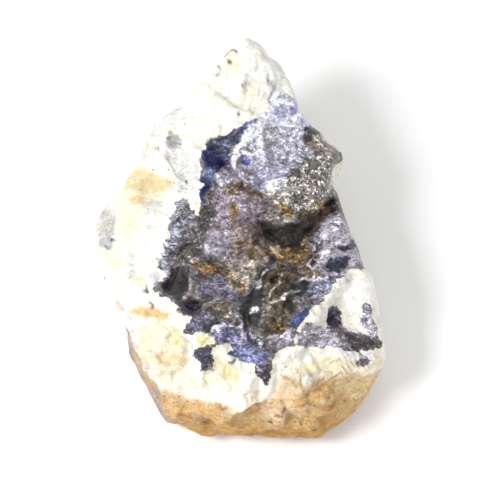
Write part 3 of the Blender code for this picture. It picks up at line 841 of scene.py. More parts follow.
# %% Patches of the cream rock and its rind
ROCK_BACKGROUND = ((243, 240, 229), 0.35, 0.25)
ROCK_PATCHES = (
    (0, (240, 240, 236), 1, 0.3, 0.2, (  # tip
        (248, 36), (262, 50), (276, 66), (286, 84), (280, 100), (262, 96), (244, 84), (232, 66),
        (238, 50),
    )),
    (0, (244, 234, 206), 0.8, 0.3, 0.2, (  # yellow beside the tip
        (226, 58), (236, 54), (244, 60), (240, 74), (230, 76), (224, 68),
    )),
    (0, (240, 236, 214), 0.6, 0.4, 0.2, (  # pale yellow
        (240, 84), (256, 82), (258, 94), (244, 98),
    )),
    # Upper left edge: pale rock, greyed further with painted shade where the slope turns away from
    # the light
    (0, (222, 222, 216), 1, 0.5, 0.5, (  # upper left edge
        (150, 118), (166, 106), (184, 98), (190, 110), (176, 122), (166, 138), (152, 150),
        (142, 146),
    )),
    # Grey slope: painted shade on the face that turns down and to the left
    (0, (212, 212, 212), 0.9, 0.6, 0.5, (  # grey slope
        (166, 150), (180, 146), (196, 152), (198, 170), (192, 190), (178, 192), (168, 176),
    )),
    # Grey facet: the deepest painted shade of that slope
    (0, (160, 160, 162), 0.3, 0.4, 0.3, (  # grey facet
        (168, 142), (172, 134), (178, 138), (180, 146), (172, 150),
    )),
    # White spot: painted highlight on the lit top edge of the upper left ledge
    (0, (250, 249, 246), 0.8, 0.2, 0.1, (  # white spot
        (146, 162), (160, 156), (168, 164), (166, 172), (150, 172),
    )),
    (0, (214, 214, 204), 0.8, 0.5, 0.4, (  # greenish edge
        (144, 140), (156, 140), (156, 156), (140, 166), (136, 160),
    )),
    # Beige hollow: beige rock, darkened with painted shade in the hollow under the upper left ledge
    (0, (220, 202, 160), 1, 0.4, 0.3, (  # beige hollow
        (130, 172), (146, 170), (166, 176), (172, 184), (160, 192), (140, 196), (126, 192),
    )),
    (0, (238, 230, 204), 1, 0.4, 0.3, (  # cream lobe
        (110, 200), (130, 190), (150, 196), (156, 220), (140, 238), (118, 236), (108, 220),
    )),
    (0, (244, 220, 194), 1, 0.2, 0.2, (  # pink spot
        (122, 210), (132, 212), (132, 228), (126, 234), (120, 226),
    )),
    (0, (226, 192, 140), 0.4, 0.3, 0.2, (  # ochre fleck
        (132, 198), (144, 198), (144, 204), (134, 204),
    )),
    # Grey left rim: painted shade where the left rim turns away from the light
    (0, (182, 182, 180), 0.7, 0.9, 0.5, (  # grey left rim
        (98, 214), (106, 204), (110, 214), (108, 232), (112, 250), (104, 258), (96, 244), (95, 228),
    )),
    (0, (62, 64, 66), 0.3, 0.9, 0, (  # black cluster
        (107, 240), (113, 239), (114, 244), (108, 245),
    )),
    (0, (110, 112, 122), 0.3, 0.9, 0, (  # slate cluster
        (102, 245), (108, 245), (108, 250), (103, 250),
    )),
    (0, (236, 230, 194), 0.9, 0.4, 0.3, (  # greenish cream
        (104, 252), (120, 248), (124, 266), (114, 278), (106, 266),
    )),
    (0, (208, 206, 204), 0.8, 0.6, 0.5, (  # grey streaks
        (122, 248), (134, 252), (136, 270), (132, 288), (126, 280), (124, 264),
    )),
    (0, (240, 240, 238), 1, 0.3, 0.2, (  # cool white
        (136, 236), (158, 226), (166, 208), (176, 190), (170, 230), (158, 256), (156, 280),
        (144, 284), (138, 262),
    )),
    (0, (220, 218, 216), 0.8, 0.5, 0.5, (  # grey upright
        (146, 200), (162, 198), (160, 236), (150, 256), (144, 230),
    )),
    (0, (226, 226, 196), 0.5, 0.4, 0.2, (  # yellow green spot
        (136, 276), (146, 274), (148, 284), (138, 286),
    )),
    (0, (96, 98, 120), 0.3, 0.6, 0, (  # blue black mark
        (143, 288), (147, 282), (149, 290), (144, 294),
    )),
    (0, (250, 250, 246), 0.7, 0.2, 0.1, (  # white spot
        (108, 284), (126, 290), (134, 300), (120, 302),
    )),
    (0, (206, 190, 176), 0.6, 0.6, 0.3, (  # pinkish edge
        (112, 300), (122, 304), (130, 314), (134, 322), (124, 318), (116, 310),
    )),
    # Tan band: tan rock, darkened with painted shade on the wall facing down under the left lobe's
    # ledge
    (0, (216, 184, 130), 0.7, 0.4, 0.3, (  # tan band
        (130, 308), (142, 304), (156, 308), (172, 312), (170, 320), (154, 319), (140, 316),
    )),
    (0, (250, 249, 245), 0.5, 0.2, 0.1, (  # white block
        (131, 322), (144, 322), (142, 330), (130, 328),
    )),
    (0, (231, 221, 194), 1, 0.5, 0.3, (  # lower left block
        (134, 326), (160, 322), (184, 330), (190, 350), (180, 372), (160, 380), (148, 366),
        (140, 346),
    )),
    (0, (222, 216, 168), 0.6, 0.4, 0.2, (  # yellow green
        (172, 336), (180, 334), (184, 348), (174, 352),
    )),
    (0, (222, 200, 160), 0.6, 0.3, 0.3, (  # tan streak
        (156, 356), (180, 354), (190, 358), (176, 364), (158, 362),
    )),
    (0, (226, 220, 172), 0.3, 0.2, 0.1, (  # pale yellow block
        (196, 334), (208, 331), (211, 342), (200, 346),
    )),
    (0, (241, 234, 212), 1.2, 0.6, 0.4, (  # strip
        (150, 372), (180, 376), (216, 374), (250, 388), (262, 402), (240, 404), (214, 398),
        (184, 392), (160, 388),
    )),
    (0, (232, 216, 176), 0.8, 0.4, 0.3, (  # yellow tan
        (214, 362), (232, 364), (244, 368), (238, 382), (220, 378),
    )),
    (0, (252, 251, 248), 0.5, 0.2, 0.1, (  # white bit
        (206, 384), (224, 386), (222, 394), (206, 394),
    )),
    # This white bit is a painted highlight along the rim, where the face meets the rind
    (0, (252, 251, 248), 0.5, 0.2, 0.1, (  # white bit
        (228, 396), (246, 396), (248, 402), (232, 404),
    )),
    (0, (236, 224, 190), 0.9, 0.5, 0.4, (  # yellow strip, right
        (288, 364), (320, 360), (340, 356), (362, 352), (384, 356), (380, 366), (352, 368),
        (330, 374), (306, 374),
    )),
    (0, (222, 196, 162), 1, 0.5, 0.4, (  # rusty corner
        (276, 382), (292, 372), (302, 380), (306, 392), (294, 400), (280, 404), (272, 396),
    )),
    (0, (226, 222, 228), 0.8, 0.5, 0.3, (  # lilac tinge
        (320, 342), (350, 348), (372, 352), (370, 362), (350, 360), (330, 352),
    )),
    (0, (190, 180, 100), 0.3, 0.3, 0, (  # olive dot
        (358, 353), (363, 352), (362, 358), (358, 358),
    )),
    (0, (90, 84, 96), 0.3, 0.6, 0, ((351, 362), (357, 362), (357, 366), (352, 366))),  # dark dot
    (0, (252, 251, 246), 1, 0.2, 0.1, (  # white cap
        (345, 282), (362, 270), (372, 276), (378, 300), (368, 306), (346, 306), (330, 300),
    )),
    (0, (206, 168, 113), 0.9, 0.5, 0.6, (  # rind
        (146, 372), (152, 384), (164, 392), (200, 398), (226, 405), (246, 408), (262, 405),
        (276, 400), (292, 396), (304, 389), (316, 382), (330, 377), (352, 372), (374, 374),
        (392, 365), (400, 452), (140, 452),
    )),
    (0, (188, 144, 78), 1.4, 0.6, 0.6, (  # darker foot
        (172, 420), (220, 428), (262, 428), (300, 424), (330, 416), (350, 424), (320, 446),
        (190, 448), (162, 428),
    )),
    (0, (220, 192, 156), 1.2, 0.3, 0.4, (  # pale pinkish
        (262, 404), (290, 398), (300, 410), (280, 420), (258, 418),
    )),
    (0, (222, 194, 144), 1.2, 0.4, 0.4, (  # pale right
        (340, 378), (376, 374), (370, 392), (352, 402), (338, 392),
    )),
    (0.4, (152, 106, 48), 0.5, 0.5, 0.2, ((180, 416), (196, 418), (206, 416))),  # brown streak
    (0.3, (150, 104, 50), 0.4, 0.5, 0.2, ((218, 405), (227, 404))),  # brown streak
    (0.3, (150, 104, 50), 0.4, 0.5, 0.2, ((220, 419), (230, 417), (236, 418))),  # brown streak
    (0.6, (150, 98, 36), 0.5, 0.5, 0.2, ((200, 424), (208, 426))),  # brown streak
    (0.7, (166, 116, 48), 0.7, 0.5, 0.2, ((252, 433), (276, 431), (304, 433))),  # brown streak
    (0.4, (160, 112, 56), 0.5, 0.5, 0.2, ((300, 403), (316, 401), (332, 400))),  # brown streak
    (0.4, (166, 122, 66), 0.5, 0.5, 0.2, ((309, 388), (317, 380), (323, 378))),  # brown streak
    (0, (166, 146, 138), 0.4, 0.4, 0.3, (  # left wall
        (122, 328), (131, 331), (138, 350), (147, 368), (153, 384), (161, 400), (168, 414),
        (172, 427), (158, 430), (146, 408), (134, 380), (122, 352),
    )),
    (0.35, (190, 160, 104), 0.4, 0.4, 0.2, (  # gold edge of the left wall
        (134, 356), (144, 370), (150, 382), (157, 390),
    )),
    (0.2, (140, 116, 112), 0.3, 0.4, 0.2, (  # grey streak of the left wall
        (128, 345), (134, 362), (142, 378),
    )),
)

# Cracks and dots: half width, tint, softness of the edge, and the pixels of the points.
MARKS = (
    (0.2, (40, 36, 32), 0.2, ((225, 57), (229, 53))),
    (0.2, (50, 46, 42), 0.2, ((230, 51), (234, 51), (237, 53))),
    (0.3, (70, 60, 50), 0.2, ((229, 62), (230, 62))),
    (0.15, (96, 90, 82), 0.3, ((220, 66), (222, 72), (218, 78))),
    (0.15, (84, 80, 76), 0.2, ((241, 88), (244, 84), (246, 82))),
    (0.3, (60, 56, 52), 0.2, ((248, 84), (249, 84))),
    (0.2, (70, 68, 76), 0.3, ((269, 74), (268, 80), (269, 86))),
    (0.25, (120, 120, 150), 0.3, ((270, 84), (275, 85), (272, 92), (270, 98))),
    (0.2, (76, 74, 80), 0.2, ((270, 103), (270, 107))),
    (0.3, (50, 50, 50), 0.2, ((238, 115), (239, 116))),
    (0.2, (60, 58, 58), 0.2, ((169, 140), (173, 134))),
    (0.2, (110, 108, 106), 0.3, ((178, 137), (182, 142), (180, 148))),
    (0.3, (120, 116, 112), 0.2, ((157, 150), (160, 149))),
    (0.15, (150, 148, 144), 0.3, ((168, 152), (167, 160), (170, 168), (176, 176), (184, 180))),
    (0.3, (60, 58, 56), 0.2, ((184, 180), (185, 182))),
    (0.3, (70, 70, 70), 0.2, ((103, 278), (103, 279))),
    (0.15, (120, 118, 116), 0.3, ((100, 268), (102, 274))),
    (0.15, (150, 146, 142), 0.3, ((112, 206), (108, 218), (110, 232))),
    (0.25, (90, 84, 88), 0.3, ((152, 302), (155, 304), (154, 308))),
    (0.15, (130, 120, 112), 0.3, ((204, 366), (212, 370))),
    (0.3, (96, 80, 70), 0.3, ((228, 362), (231, 363), (234, 359))),
    (0.2, (110, 76, 44), 0.2, ((252, 407), (257, 406))),
    (0.2, (120, 80, 54), 0.2, ((276, 415), (284, 412))),
    (0.3, (80, 48, 24), 0.2, ((300, 421), (301, 421))),
    (0.3, (80, 48, 24), 0.2, ((313, 427), (314, 426))),
    (0.25, (100, 66, 34), 0.2, ((269, 420), (271, 420))),
    (0.2, (150, 120, 84), 0.3, ((282, 374), (290, 378), (296, 386))),
    (0.15, (140, 112, 80), 0.3, ((296, 368), (300, 378), (300, 386))),
    (0.2, (150, 118, 72), 0.3, ((300, 396), (318, 388), (334, 376), (348, 366), (362, 358))),
    (0.15, (140, 136, 120), 0.3, ((330, 362), (340, 358), (352, 352))),
)
print(len(ROCK_PATCHES), "patches and", len(MARKS), "marks of the rock")


# %% Lay the patches on
def colour(red, green, blue):
    """A colour named as 0 to 255 on a screen, made linear for the shader."""
    share = np.array([red, green, blue]) / 255.0
    return np.where(share <= 0.04045, share / 12.92, ((share + 0.055) / 1.055) ** 2.4)


def lay_patches(patches, across, along, background):
    """Tint, grit and threads of each point: each patch is mixed over the ones before, in full
    inside it and not at all outside, with an S curve across its soft edge."""
    tint, grit, threads = background
    look = np.tile(np.array([*colour(*tint), grit, threads]), (len(across), 1))
    for half_width, tint, edge, grit, threads, pixels in patches:
        points = on_face(pixels)
        if half_width:
            distance = distance_to_path(across, along, points) - half_width
        else:
            distance = distance_outside(across, along, points)
        share = smooth_step(edge, -edge, distance)[:, None]
        look += share * (np.array([*colour(*tint), grit, threads]) - look)
    return look


def keep_values(name, values):
    """Stores one number for each point of the mesh."""
    layer = stone_mesh.attributes.new(name, "FLOAT", "POINT")
    layer.data.foreach_set("value", values.astype(np.float32))


def keep_look(name, look):
    """Stores a tint as a colour, and its grit and threads as numbers."""
    layer = stone_mesh.attributes.new(name + "_tint", "FLOAT_COLOR", "POINT")
    solid = np.concatenate([look[:, :3], np.ones((len(look), 1))], axis=1)
    layer.data.foreach_set("color", solid.astype(np.float32).ravel())
    keep_values(name + "_grit", look[:, 3])
    keep_values(name + "_threads", look[:, 4])


RAGGED = 0.35  # extra wander of the patches' edges, in millimetres
MARKS_START = -3.0  # cracks and dots fade in from here in front of the rim, in millimetres
MARKS_FULL = 1.0
patch_across = place_across + RAGGED * layered_lumps(base, 1.1, 2, 81)
patch_along = place_along + RAGGED * layered_lumps(base, 1.1, 2, 91)
dark_look = lay_patches(DARK_PATCHES, patch_across, patch_along, DARK_BACKGROUND)
rock_look = lay_patches(ROCK_PATCHES, patch_across, patch_along, ROCK_BACKGROUND)
from_face = base[:, 2] - rim_height(base[:, 0], base[:, 1])
front = smooth_step(MARKS_START, MARKS_FULL, from_face)
for half_width, tint, edge, pixels in MARKS:
    distance = distance_to_path(base[:, 0], base[:, 1], on_face(pixels)) - half_width
    share = smooth_step(edge, -edge, distance) * front
    rock_look[:, :3] += share[:, None] * (colour(*tint) - rock_look[:, :3])
keep_look("dark", dark_look)
keep_look("rock", rock_look)
print("mean tint of the rock:", np.round(rock_look[:, :3].mean(axis=0), 2))

# %% [markdown]
# ## Where the minerals meet
# The dark mass ends in tongues and drips, and deep blue strips line its left edge. The tan rind
# covers the near wall. These edges must stay crisp between two points of the mesh, so each point
# only carries its distance to them, and the shader cuts them. On the back there is only cream
# rock with stains, because the picture shows none of it.

# %% Distances to the edges of the regions
DARK_OUTLINE = (
    (268, 108), (262, 114), (250, 122), (240, 125), (233, 133), (222, 137), (217, 140), (210, 142),
    (205, 145), (204, 155), (202, 163), (199, 168), (196, 176), (198, 185), (199, 195), (201, 203),
    (198, 212), (193, 209), (190, 203), (187, 198), (182, 197), (175, 205), (173, 215), (174, 225),
    (170, 233), (165, 240), (163, 250), (160, 258), (157, 266), (161, 272), (162, 280), (155, 284),
    (158, 290), (166, 295), (174, 301), (176, 308), (183, 313), (192, 317), (186, 322), (184, 330),
    (190, 333), (200, 331), (208, 330), (211, 336), (213, 343), (205, 345), (197, 349), (196, 356),
    (199, 362), (201, 370), (206, 373), (213, 370), (215, 362), (212, 355), (212, 348), (220, 343),
    (228, 341), (232, 347), (229, 352), (236, 355), (247, 358), (252, 362), (255, 370), (258, 378),
    (265, 384), (268, 375), (271, 366), (270, 358), (275, 352), (285, 347), (295, 345), (298, 328),
    (308, 310), (318, 303), (325, 295), (330, 285), (340, 277), (352, 270), (364, 268), (362, 255),
    (358, 243), (352, 230), (346, 215), (342, 200), (340, 185), (342, 165), (342, 150), (330, 136),
    (316, 124), (306, 116), (298, 103), (284, 92), (274, 98),
)
LOWER_RIGHT = (
    (
        (298, 330), (306, 324), (318, 328), (330, 328), (326, 318), (324, 308), (334, 304),
        (342, 312), (342, 322), (352, 330), (364, 334), (378, 336), (384, 338), (380, 345),
        (366, 350), (352, 349), (338, 350), (322, 348), (306, 348), (297, 345),
    ),
    (
        (357, 306), (366, 303), (373, 312), (377, 326), (374, 336), (364, 332), (360, 320),
    ),
    (
        (352, 360), (358, 356), (364, 352), (366, 358), (360, 364), (353, 366),
    ),
)
BLUE_STRIP = (
    (182, 197), (190, 203), (194, 212), (190, 222), (184, 232), (178, 240), (170, 248), (165, 258),
    (160, 268), (157, 266), (160, 255), (163, 245), (167, 237), (173, 226), (173, 213), (176, 203),
)
# Where the rind begins, across and along the face in millimetres.
RIND_EDGE = (
    (-30.0, -18.4), (-23.0, -22.4), (-18.1, -27.6), (-12.9, -29.6), (-5.4, -31.1), (2.1, -32.3),
    (9.7, -29.3), (17.2, -26.2), (25.8, -24.6), (31.2, -22.8),
)
DARK_DEPTH = 5.0  # the dark colour stops this far behind the rim

dark_inside = -distance_outside(patch_across, patch_along, on_face(DARK_OUTLINE))
for outline in LOWER_RIGHT:
    patch_inside = -distance_outside(patch_across, patch_along, on_face(outline))
    dark_inside = np.maximum(dark_inside, patch_inside)
dark_inside = np.minimum(dark_inside, from_face + DARK_DEPTH)
blue_inside = -distance_outside(place_across, place_along, on_face(BLUE_STRIP))
rind_inside = np.interp(place_across, *np.array(RIND_EDGE).T) - place_along
keep_values("dark_inside", dark_inside)
keep_values("blue_inside", blue_inside)
keep_values("rind_inside", rind_inside)
print("dark share of the points:", round(float((dark_inside > 0).mean()), 2))

# %% [markdown]
# ## Shader building blocks
# The fine patterns repeat in several places with other sizes, so each is a node group: mottling,
# thin threads, and specks. A group puts out only numbers, and the shader stays in the material.
# A helper keeps the node code short: it adds a node and sets or links its inputs.

# %% Node helpers
def set_inputs(tree, node, inputs):
    """Sets or links inputs, each named with its underscores as spaces, or by number as _0."""
    for name, value in inputs.items():
        key = int(name[1:]) if name[0] == "_" else name.replace("_", " ")
        if isinstance(value, bpy.types.NodeSocket):
            tree.links.new(value, node.inputs[key])
        else:
            node.inputs[key].default_value = value


def add_node(tree, kind, settings=(), **inputs):
    """Adds a node with these settings and inputs."""
    node = tree.nodes.new(kind)
    for key, value in dict(settings).items():
        setattr(node, key, value)
    set_inputs(tree, node, inputs)
    return node


def maths(tree, operation, first, second=0.0, third=0.0, clamp=False):
    """One step of arithmetic, as a Math node's output."""
    settings = {"operation": operation, "use_clamp": clamp}
    return add_node(tree, "ShaderNodeMath", settings, _0=first, _1=second, _2=third).outputs[0]


def ramp_between(tree, value, start, end, low=0.0, high=1.0):
    """A smooth climb from low to high as the value goes from start to end."""
    node = add_node(
        tree, "ShaderNodeMapRange", {"interpolation_type": "SMOOTHSTEP"},
        Value=value, From_Min=start, From_Max=end, To_Min=low, To_Max=high,
    )
    return node.outputs["Result"]


def noise_at(tree, place, scale, detail=2.0, rough=0.5, distortion=0.0):
    """Noise from 0 to 1 at this many lumps for each millimetre."""
    return add_node(
        tree, "ShaderNodeTexNoise", Vector=place, Scale=scale, Detail=detail, Roughness=rough,
        Distortion=distortion,
    ).outputs["Fac"]


def mix_colours(tree, share, first, second, blend="MIX"):
    """A colour that goes from first to second as the share goes from 0 to 1."""
    settings = {"data_type": "RGBA", "blend_type": blend}
    return add_node(tree, "ShaderNodeMix", settings, _0=share, _6=first, _7=second).outputs[2]


def turned(tree, place, degrees, stretch):
    """Places turned about the view and squeezed one way, which draws patterns into streaks."""
    return add_node(
        tree, "ShaderNodeMapping", {"vector_type": "POINT"}, Vector=place,
        Rotation=(0.0, 0.0, math.radians(degrees)), Scale=(1.0 / stretch, 1.0, 1.0),
    ).outputs[0]


def new_group(name, inputs, output):
    """A shader node group with named sockets: its tree, its inputs, and its end node."""
    tree = bpy.data.node_groups.new(name, "ShaderNodeTree")
    for socket_name, default in inputs.items():
        kind = "NodeSocketVector" if default is None else "NodeSocketFloat"
        socket = tree.interface.new_socket(name=socket_name, in_out="INPUT", socket_type=kind)
        if default is not None:
            socket.default_value = default
    tree.interface.new_socket(name=output, in_out="OUTPUT", socket_type="NodeSocketFloat")
    return tree, tree.nodes.new("NodeGroupInput").outputs, tree.nodes.new("NodeGroupOutput").inputs


# %% Groups for mottling, threads and specks
def mottle_group():
    """Angular mottling: cells of random brightness, half and half with stretched-out noise."""
    tree, given, made = new_group("mottle", {"Place": None, "Scale": 1.0}, "Tone")
    cells = add_node(tree, "ShaderNodeTexVoronoi", Vector=given["Place"], Scale=given["Scale"])
    number = add_node(tree, "ShaderNodeSeparateColor", Color=cells.outputs["Color"]).outputs[0]
    finer = maths(tree, "MULTIPLY", given["Scale"], 1.3)
    noise = noise_at(tree, given["Place"], finer, 3.0, 0.7, 0.4)
    noise = maths(tree, "MULTIPLY_ADD", maths(tree, "SUBTRACT", noise, 0.5), 3.4, 0.5, clamp=True)
    both = maths(tree, "MULTIPLY", maths(tree, "ADD", number, noise), 0.5)
    tree.links.new(both, made["Tone"])
    return tree


def thread_group():
    """Thin threads: where noise crosses its middle value, kept where a slower noise allows."""
    inputs = {"Place": None, "Scale": 1.0, "Width": 0.04, "Share": 0.5}
    tree, given, made = new_group("threads", inputs, "Mask")
    noise = noise_at(tree, given["Place"], given["Scale"], 2.0, 0.6, 0.6)
    off = maths(tree, "ABSOLUTE", maths(tree, "SUBTRACT", noise, 0.5))
    line = maths(tree, "SUBTRACT", 1.0, maths(tree, "DIVIDE", off, given["Width"]), clamp=True)
    slow = noise_at(tree, given["Place"], maths(tree, "MULTIPLY", given["Scale"], 0.7), 1.0)
    where = maths(tree, "SUBTRACT", maths(tree, "ADD", slow, given["Share"]), 0.95)
    where = maths(tree, "MULTIPLY", where, 7.0, clamp=True)
    tree.links.new(maths(tree, "MULTIPLY", line, where), made["Mask"])
    return tree


def speck_group():
    """Scattered specks: the middles of a share of all cells."""
    inputs = {"Place": None, "Scale": 1.0, "Size": 0.25, "Share": 0.2}
    tree, given, made = new_group("specks", inputs, "Mask")
    cells = add_node(tree, "ShaderNodeTexVoronoi", Vector=given["Place"], Scale=given["Scale"])
    pick = add_node(tree, "ShaderNodeSeparateColor", Color=cells.outputs["Color"]).outputs[1]
    chosen = maths(tree, "LESS_THAN", pick, given["Share"])
    near = maths(tree, "DIVIDE", cells.outputs["Distance"], given["Size"])
    near = maths(tree, "SUBTRACT", 1.0, near, clamp=True)
    near = maths(tree, "MULTIPLY", near, 3.0, clamp=True)
    tree.links.new(maths(tree, "MULTIPLY", chosen, near), made["Mask"])
    return tree


MOTTLE, THREADS, SPECKS = mottle_group(), thread_group(), speck_group()
print("groups:", MOTTLE.name, THREADS.name, SPECKS.name)

# %% [markdown]
# ## One material for one stone
# The three kinds of rock meet in ragged lines that follow no face of the mesh, so they share one
# material. It reads each region's distance, frays it with noise, and mixes three finishes: sugary
# cream rock, glassy dark mass with pale threads, and earthy tan rind.

# %% Material: places and region masks
material = bpy.data.materials.new("rough_cancrinite")
material.use_nodes = True
tree = material.node_tree
shader = tree.nodes["Principled BSDF"]


def read(name, output="Fac"):
    """The mesh's stored number of this name, or its stored colour."""
    return add_node(tree, "ShaderNodeAttribute", {"attribute_name": name}).outputs[output]


def group(node_tree, **inputs):
    """The output of one of the groups, run here."""
    node = add_node(tree, "ShaderNodeGroup", {"node_tree": node_tree}, **inputs)
    return node.outputs[0]


def shade(red, green, blue):
    """A named screen colour with alpha, for a socket."""
    return (*colour(red, green, blue), 1.0)


def power_of_two(tone, reach, shift):
    """A colour factor of two to the power of (tone - 0.5) times reach, plus shift."""
    exponent = maths(tree, "MULTIPLY_ADD", maths(tree, "SUBTRACT", tone, 0.5), reach, shift)
    level = maths(tree, "POWER", 2.0, exponent)
    return add_node(tree, "ShaderNodeCombineColor", _0=level, _1=level, _2=level).outputs[0]


coordinates = add_node(tree, "ShaderNodeTexCoord").outputs["Object"]
place = add_node(
    tree, "ShaderNodeMapping", {"vector_type": "POINT"}, Vector=coordinates,
    Rotation=(FACE_LEAN, 0.0, 0.0), Scale=(1000.0, 1000.0, 1000.0),
).outputs[0]
fray = maths(tree, "SUBTRACT", noise_at(tree, place, 1.0, 4.0, 0.7), 0.5)
dark_edge = maths(tree, "MULTIPLY_ADD", fray, 1.8, read("dark_inside"))
dark_mask = ramp_between(tree, dark_edge, -0.12, 0.12)
rind_edge = maths(tree, "MULTIPLY_ADD", fray, 2.6, read("rind_inside"))
rind_mask = ramp_between(tree, rind_edge, -0.5, 0.7)
blue_mask = ramp_between(tree, read("blue_inside"), -0.5, 0.4)
print("regions frayed by noise")

# %% Material: the dark mass
# Turn in degrees, stretch, lumps for each millimetre, and share of each size of mottling.
MOTTLINGS = ((28.0, 1.6, 0.85, 0.30), (-35.0, 1.7, 1.7, 0.40), (0.0, 1.0, 3.0, 0.30))
# Turn in degrees, stretch, lumps for each millimetre, and width of each family of threads.
STRANDS = ((-40.0, 3.5, 1.3, 0.045), (25.0, 4.0, 1.0, 0.04), (80.0, 3.0, 1.7, 0.05))

tone = 0.0
for degrees, stretch, scale, share in MOTTLINGS:
    mottling = group(MOTTLE, Place=turned(tree, place, degrees, stretch), Scale=scale)
    tone = maths(tree, "MULTIPLY_ADD", mottling, share, tone)
grit = read("dark_grit")
reach = maths(tree, "MULTIPLY_ADD", grit, 11.0, 2.0)
shift = maths(tree, "MULTIPLY", maths(tree, "MULTIPLY", grit, grit), -0.9)
dark_colour = mix_colours(
    tree, 1.0, read("dark_tint", "Color"), power_of_two(tone, reach, shift), "MULTIPLY"
)
threads = read("dark_threads")
strands = 0.0
for degrees, stretch, scale, width in STRANDS:
    streaks = turned(tree, place, degrees, stretch)
    family = group(THREADS, Place=streaks, Scale=scale, Width=width, Share=threads)
    strands = maths(tree, "MAXIMUM", strands, family)
dark_colour = mix_colours(
    tree, maths(tree, "MULTIPLY", strands, 0.8), dark_colour, shade(222, 217, 226)
)
fibres = noise_at(tree, turned(tree, place, 72.0, 5.0), 2.0, 2.0, 0.6)
fibres = ramp_between(tree, fibres, 0.52, 0.60, 0.0, 0.85)
fibre_mask = maths(tree, "MULTIPLY", blue_mask, fibres)
dark_colour = mix_colours(tree, fibre_mask, dark_colour, shade(190, 200, 226))
print("dark mass mottled and threaded")

# %% Material: the cream rock and the rind
rock_grit = read("rock_grit")
sugar = group(MOTTLE, Place=place, Scale=1.9)
crumbs = group(MOTTLE, Place=turned(tree, place, 35.0, 1.8), Scale=0.9)
rock_tone = maths(tree, "MULTIPLY_ADD", sugar, 0.5, maths(tree, "MULTIPLY", crumbs, 0.5))
rock_reach = maths(tree, "MULTIPLY_ADD", rock_grit, 1.5, 0.35)
rock_colour = mix_colours(
    tree, 1.0, read("rock_tint", "Color"), power_of_two(rock_tone, rock_reach, 0.0), "MULTIPLY"
)
stains = ramp_between(tree, noise_at(tree, place, 0.33, 4.0, 0.65), 0.50, 0.72, 0.0, 0.55)
rock_colour = mix_colours(tree, stains, rock_colour, shade(214, 203, 178))
crack_share = read("rock_threads")
slanted = turned(tree, place, -30.0, 2.6)
cracks = group(THREADS, Place=slanted, Scale=0.8, Width=0.02, Share=crack_share)
rock_colour = mix_colours(
    tree, maths(tree, "MULTIPLY", cracks, 0.75), rock_colour, shade(128, 116, 100)
)
dust = group(SPECKS, Place=place, Scale=0.9, Size=0.2, Share=0.05)
rock_colour = mix_colours(tree, dust, rock_colour, shade(96, 90, 84))

layers = noise_at(tree, turned(tree, place, -6.0, 3.4), 1.1, 4.0, 0.66)
brown = maths(tree, "MULTIPLY", rind_mask, ramp_between(tree, layers, 0.52, 0.70, 0.0, 0.7))
rock_colour = mix_colours(tree, brown, rock_colour, shade(156, 112, 60))
rind_specks = group(SPECKS, Place=place, Scale=1.1, Size=0.24, Share=0.12)
rind_specks = maths(tree, "MULTIPLY", rind_mask, rind_specks)
rock_colour = mix_colours(tree, rind_specks, rock_colour, shade(96, 64, 34))
print("rock and rind coloured")

# %% Material: finish and fine relief
stone_colour = mix_colours(tree, dark_mask, rock_colour, dark_colour)
tree.links.new(stone_colour, shader.inputs["Base Color"])
finish = maths(tree, "MULTIPLY_ADD", rind_mask, 0.10, 0.75)
glassy = ramp_between(tree, tone, 0.2, 0.9, 0.30, 0.55)
finish_mix = add_node(
    tree, "ShaderNodeMix", {"data_type": "FLOAT"}, _0=dark_mask, _2=finish, _3=glassy
)
tree.links.new(finish_mix.outputs[0], shader.inputs["Roughness"])
grain = noise_at(tree, place, 1.6, 4.0, 0.65)
height = maths(tree, "MULTIPLY_ADD", tone, 0.6, grain)
bump = add_node(tree, "ShaderNodeBump", Strength=0.8, Distance=0.0003, Height=height)
tree.links.new(bump.outputs["Normal"], shader.inputs["Normal"])
stone_mesh.materials.append(material)
print(len(tree.nodes), "nodes in", material.name)

# %% [markdown]
# ## Hand the stone over
# The dressed surface stands for the plain solid, which stays in the frame for its weight and its
# contacts. There are no moving parts, so the stone rides on the one body.

# %% Ride, replace and finish
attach(stone, "root")
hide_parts("cancrinite_stone")

# %% [markdown]
# ## Floor, light and camera
# The stone lies on a plain white floor in soft light that comes mostly from the upper left, and
# leaves a faint halo of shade. The camera looks square at the broken face, through a long lens
# from far away, so that the outline keeps its true proportions.

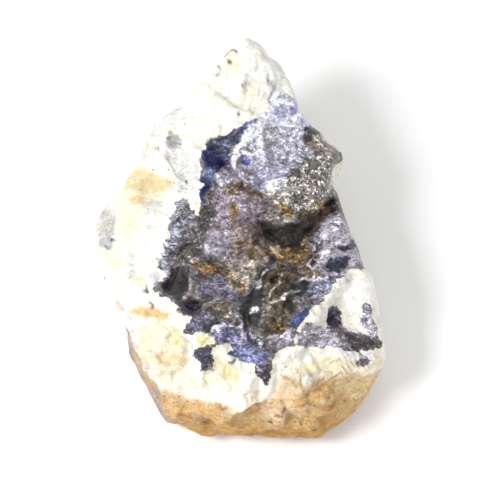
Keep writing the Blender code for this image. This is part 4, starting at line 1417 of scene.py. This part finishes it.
# %% Floor
floor_mesh = bpy.data.meshes.new("floor")
FLOOR_HALF = 3.0  # metres
FLOOR_DROP = 0.00005  # metres below the stone, so that the two don't share a plane
corners = [
    (x * FLOOR_HALF, y * FLOOR_HALF, -FLOOR_DROP) for x, y in ((-1, -1), (1, -1), (1, 1), (-1, 1))
]
floor_mesh.from_pydata(corners, [], [(0, 1, 2, 3)])
floor = bpy.data.objects.new("floor", floor_mesh)
bpy.context.scene.collection.objects.link(floor)
floor_material = bpy.data.materials.new("white_floor")
floor_material.use_nodes = True
floor_shader = floor_material.node_tree.nodes["Principled BSDF"]
floor_shader.inputs["Base Color"].default_value = (0.93, 0.93, 0.93, 1.0)
floor_shader.inputs["Roughness"].default_value = 0.9
floor_shader.inputs["Specular IOR Level"].default_value = 0.0
floor_mesh.materials.append(floor_material)

# %% Lights
def area_light(name, place_m, aim_m, size_m, watts):
    """A square soft light at a place, turned to its aim."""
    lamp = bpy.data.lights.new(name, "AREA")
    lamp.size = size_m
    lamp.energy = watts
    holder = bpy.data.objects.new(name, lamp)
    holder.location = place_m
    holder.rotation_euler = (Vector(aim_m) - Vector(place_m)).to_track_quat("-Z", "Y").to_euler()
    bpy.context.scene.collection.objects.link(holder)
    return holder


# Place, size in metres, and watts of each lamp.
LAMPS = {"key": ((-0.50, -0.12, 0.62), 0.30, 5.0), "fill": ((0.30, -0.60, 0.75), 0.60, 1.2)}
LAMP_AIM = (0.0, 0.0, 0.015)
SKY_STRENGTH = 0.72
for name, (place_m, size_m, watts) in LAMPS.items():
    area_light(name, place_m, LAMP_AIM, size_m, watts)
world = bpy.data.worlds.new("soft_room")
bpy.context.scene.world = world
world.use_nodes = True
world.node_tree.nodes["Background"].inputs["Color"].default_value = (1.0, 1.0, 1.0, 1.0)
world.node_tree.nodes["Background"].inputs["Strength"].default_value = SKY_STRENGTH

# %% Camera
CAMERA_AWAY = 1.5
VIEW_WIDTH = 2 * PHOTO_MIDDLE * PIXEL * MM  # what the frame takes in at the aim, in metres
AIM = (0.0, MIDDLE_ALONG, 18.0)  # across, along and out, in millimetres
camera_data = bpy.data.cameras.new("camera")
camera_data.sensor_width = 36.0
camera_data.lens = 36.0 * CAMERA_AWAY / VIEW_WIDTH
camera_data.clip_end = 20.0
camera = bpy.data.objects.new("camera", camera_data)
aim = ground_axes(np.array([AIM]))[0]
aim[:2] -= BOX_MIDDLE
aim = Vector(aim * MM)
out_of_face = Vector((0.0, -math.sin(FACE_LEAN), math.cos(FACE_LEAN)))
camera.location = aim + out_of_face * CAMERA_AWAY
camera.rotation_euler = (-out_of_face).to_track_quat("-Z", "Y").to_euler()
bpy.context.scene.collection.objects.link(camera)
bpy.context.scene.camera = camera
bpy.context.scene.view_settings.view_transform = "Standard"
print("lens", round(camera_data.lens), "mm")
